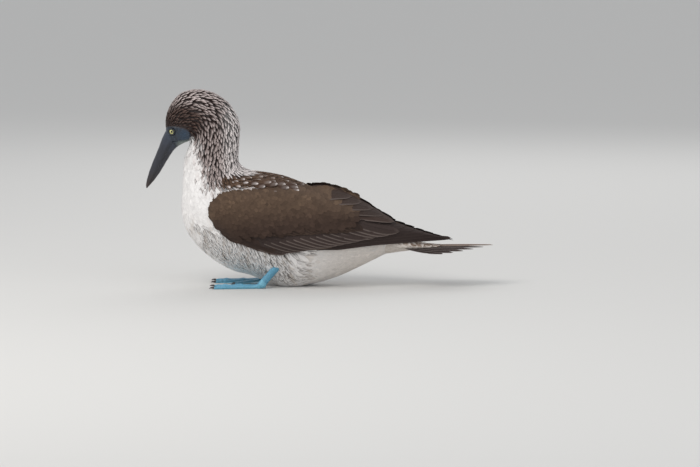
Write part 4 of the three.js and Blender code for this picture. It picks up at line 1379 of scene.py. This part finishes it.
def left_foot_mesh():
    """The left leg and foot as one even mesh, in millimetres."""
    shapes = [web(), ball(HEEL - [0, 0, 0.8], np.array([7.6, 6.3, 6.6]))]
    for length, angle, girth in TOES:
        way = toe_way(angle) * length
        path = [HEEL * [1, 1, 0] + way * s + [0, 0, girth * w * 0.9] for s, w in TOE_SHAPE]
        sizes = [girth * w for _, w in TOE_SHAPE]
        shapes.append(tube(path, sizes, sizes))
    path = [HEEL + (ANKLE - HEEL) * s for s, _, _ in LEG_SHAPE]
    shapes.append(
        tube(path, [w * LEG_WIDE for _, w, _ in LEG_SHAPE], [d * LEG_DEEP for _, _, d in LEG_SHAPE], 32)
    )
    start, points, faces = 0, [], []
    for p, f in shapes:
        a, b, c = (p[f[:, i]] for i in range(3))
        if np.einsum("ij,ij->", a, np.cross(b, c)) < 0:
            f = f[:, ::-1]
        points.append(p)
        faces.append(f + start)
        start += len(p)
    rough = mesh_object("rough_foot", np.concatenate(points), np.concatenate(faces), FOOT_SKIN)
    remesh = rough.modifiers.new("remesh", "REMESH")
    remesh.mode = "VOXEL"
    remesh.voxel_size = FOOT_GRAIN * MM
    smooth = rough.modifiers.new("smooth", "SMOOTH")
    smooth.iterations = 5
    even = bpy.data.meshes.new_from_object(rough.evaluated_get(bpy.context.evaluated_depsgraph_get()))
    bpy.data.objects.remove(rough)
    even.calc_loop_triangles()
    co = np.empty(len(even.vertices) * 3, np.float32)
    even.vertices.foreach_get("co", co)
    faces = np.empty(len(even.loop_triangles) * 3, np.int32)
    even.loop_triangles.foreach_get("vertices", faces)
    return co.reshape(-1, 3).astype(float) / MM, faces.reshape(-1, 3)


def scutes(points):
    """Raises the plates over the toes and down the front of the leg, and colours them."""
    lift = np.zeros(len(points))
    tone = np.tile(WEB_BLUE, (len(points), 1))
    for length, angle, girth in TOES:
        way = toe_way(angle)
        rel = points - HEEL
        along = rel[:, 0] * way[0] + rel[:, 1] * way[1]
        off = np.abs(rel[:, 0] * way[1] - rel[:, 1] * way[0])
        on = smoothstep(girth * 1.15, girth * 0.6, off) * (along > 2) * (points[:, 2] > 1.6)
        ridge = np.abs(np.sin(math.pi * along / SCUTE)) ** 0.5
        lift += 0.3 * on * (ridge - 0.7)
        tone = blend(tone, FOOT_BLUE * (0.72 + 0.33 * ridge)[:, None], on)
    axis = unit(ANKLE - HEEL)
    along = (points - HEEL) @ axis
    off = points - HEEL - along[:, None] * axis
    ahead = np.cross(axis, [0, 1.0, 0])
    front = smoothstep(-0.1, 0.7, off @ (ahead * np.sign(-ahead[0])) / LEG_DEEP)
    shank = smoothstep(4, 8, along)
    ridge = np.abs(np.sin(math.pi * along / (1.5 * SCUTE))) ** 0.5
    points = points + off * (0.05 * shank * front * (ridge - 0.7))[:, None]
    tone = blend(tone, FOOT_BLUE * (0.85 + 0.15 * ridge * front)[:, None], shank)
    points[:, 2] += lift
    points[:, 2] = np.maximum(points[:, 2], 0.05)
    return points, tone


def feet():
    points, faces = left_foot_mesh()
    points, tone = scutes(points)
    for side, label in ((-1, "left"), (1, "right")):
        mirror = np.array([1, -side, 1])
        made = mesh_object(f"webbed_foot_{label}", points * mirror, faces, FOOT_SKIN, tone)
        finish_piece(made, "foot_skin", f"leg_{label}", f"foot_{label}")
        for i, (length, angle, girth) in enumerate(TOES):
            way = toe_way(angle)
            size = CLAW * girth / THICKEST_TOE
            start = HEEL * [1, 1, 0] + way * (length - 0.4) + [0, 0, girth * 0.62]
            s = np.linspace(0, 1, 24)
            drop = 0.9 * np.sin(math.pi * s * 0.8) - 1.1 * s * s
            path = start + way * (s * (size + 0.6))[:, None] + np.array([0, 0, 1]) * drop[:, None]
            thick = girth * CLAW_SHAPE(s)
            horn, horn_faces = tube(path, thick * 0.85, thick, CLAW_AROUND)
            shade = CLAW_GREY * np.repeat(0.75 + 0.6 * s, CLAW_AROUND)[:, None]
            claw = mesh_object(f"nail_{i + 1}_{label}", horn * mirror, horn_faces, CLAW_HORN, shade)
            finish_piece(claw, "claw", f"claw_{i + 1}_{label}")


body_skin()
body_plumes()
scapulars()
wings()
tail()
mandible(True)
mandible(False)
eyes()
feet()


# Floor, light and camera
SCALE = 1.70 * MM
VIEW_CENTRE = (60 * SCALE, 0.0, 52 * SCALE)
VIEW_WIDTH = 700 * SCALE
ELEVATION = math.radians(6)
DISTANCE = 7.5
SENSOR = 36
FLOOR_REACH = 30.0


def stage():
    mesh = bpy.data.meshes.new("floor")
    s = FLOOR_REACH
    mesh.from_pydata([(-s, -s, 0), (s, -s, 0), (s, s, 0), (-s, s, 0)], [], [(0, 1, 2, 3)])
    material, nodes, links, shader = new_material("floor_paper", 0.95)
    noise = nodes.new("ShaderNodeTexNoise")
    noise.inputs["Scale"].default_value = 3
    ramp = nodes.new("ShaderNodeValToRGB")
    ramp.color_ramp.elements[0].color = (0.6, 0.59, 0.57, 1)
    ramp.color_ramp.elements[1].color = (0.64, 0.63, 0.61, 1)
    links.new(noise.outputs["Fac"], ramp.inputs["Fac"])
    links.new(ramp.outputs["Color"], shader.inputs["Base Color"])
    mesh.materials.append(material)
    add_object("floor", mesh)


def area_light(name, place, target, size, power, colour):
    light = bpy.data.lights.new(name, "AREA")
    light.size = size
    light.energy = power
    light.color = colour
    made = add_object(name, light)
    made.location = place
    made.rotation_euler = (Vector(target) - Vector(place)).to_track_quat("-Z", "Y").to_euler()


def light_and_camera():
    centre = (0.03, 0.0, 0.15)
    area_light("key", (-1.3, -1.5, 2.3), centre, 1.6, 42, (1.0, 0.98, 0.95))
    area_light("fill", (1.9, -2.0, 1.0), centre, 2.4, 10, (0.93, 0.96, 1.0))
    area_light("back", (0.6, 2.2, 1.8), centre, 2.0, 14, (1.0, 1.0, 1.0))
    world = bpy.data.worlds.new("studio")
    world.use_nodes = True
    world.node_tree.nodes["Background"].inputs["Color"].default_value = (0.9, 0.92, 0.95, 1)
    world.node_tree.nodes["Background"].inputs["Strength"].default_value = 0.75
    bpy.context.scene.world = world
    camera = bpy.data.cameras.new("camera")
    camera.sensor_width = SENSOR
    camera.lens = SENSOR * DISTANCE / VIEW_WIDTH
    made = add_object("camera", camera)
    look = Vector((0, math.cos(ELEVATION), -math.sin(ELEVATION)))
    made.location = Vector(VIEW_CENTRE) - look * DISTANCE
    made.rotation_euler = look.to_track_quat("-Z", "Y").to_euler()
    bpy.context.scene.camera = made
    bpy.context.scene.view_settings.view_transform = "Standard"


stage()
light_and_camera()
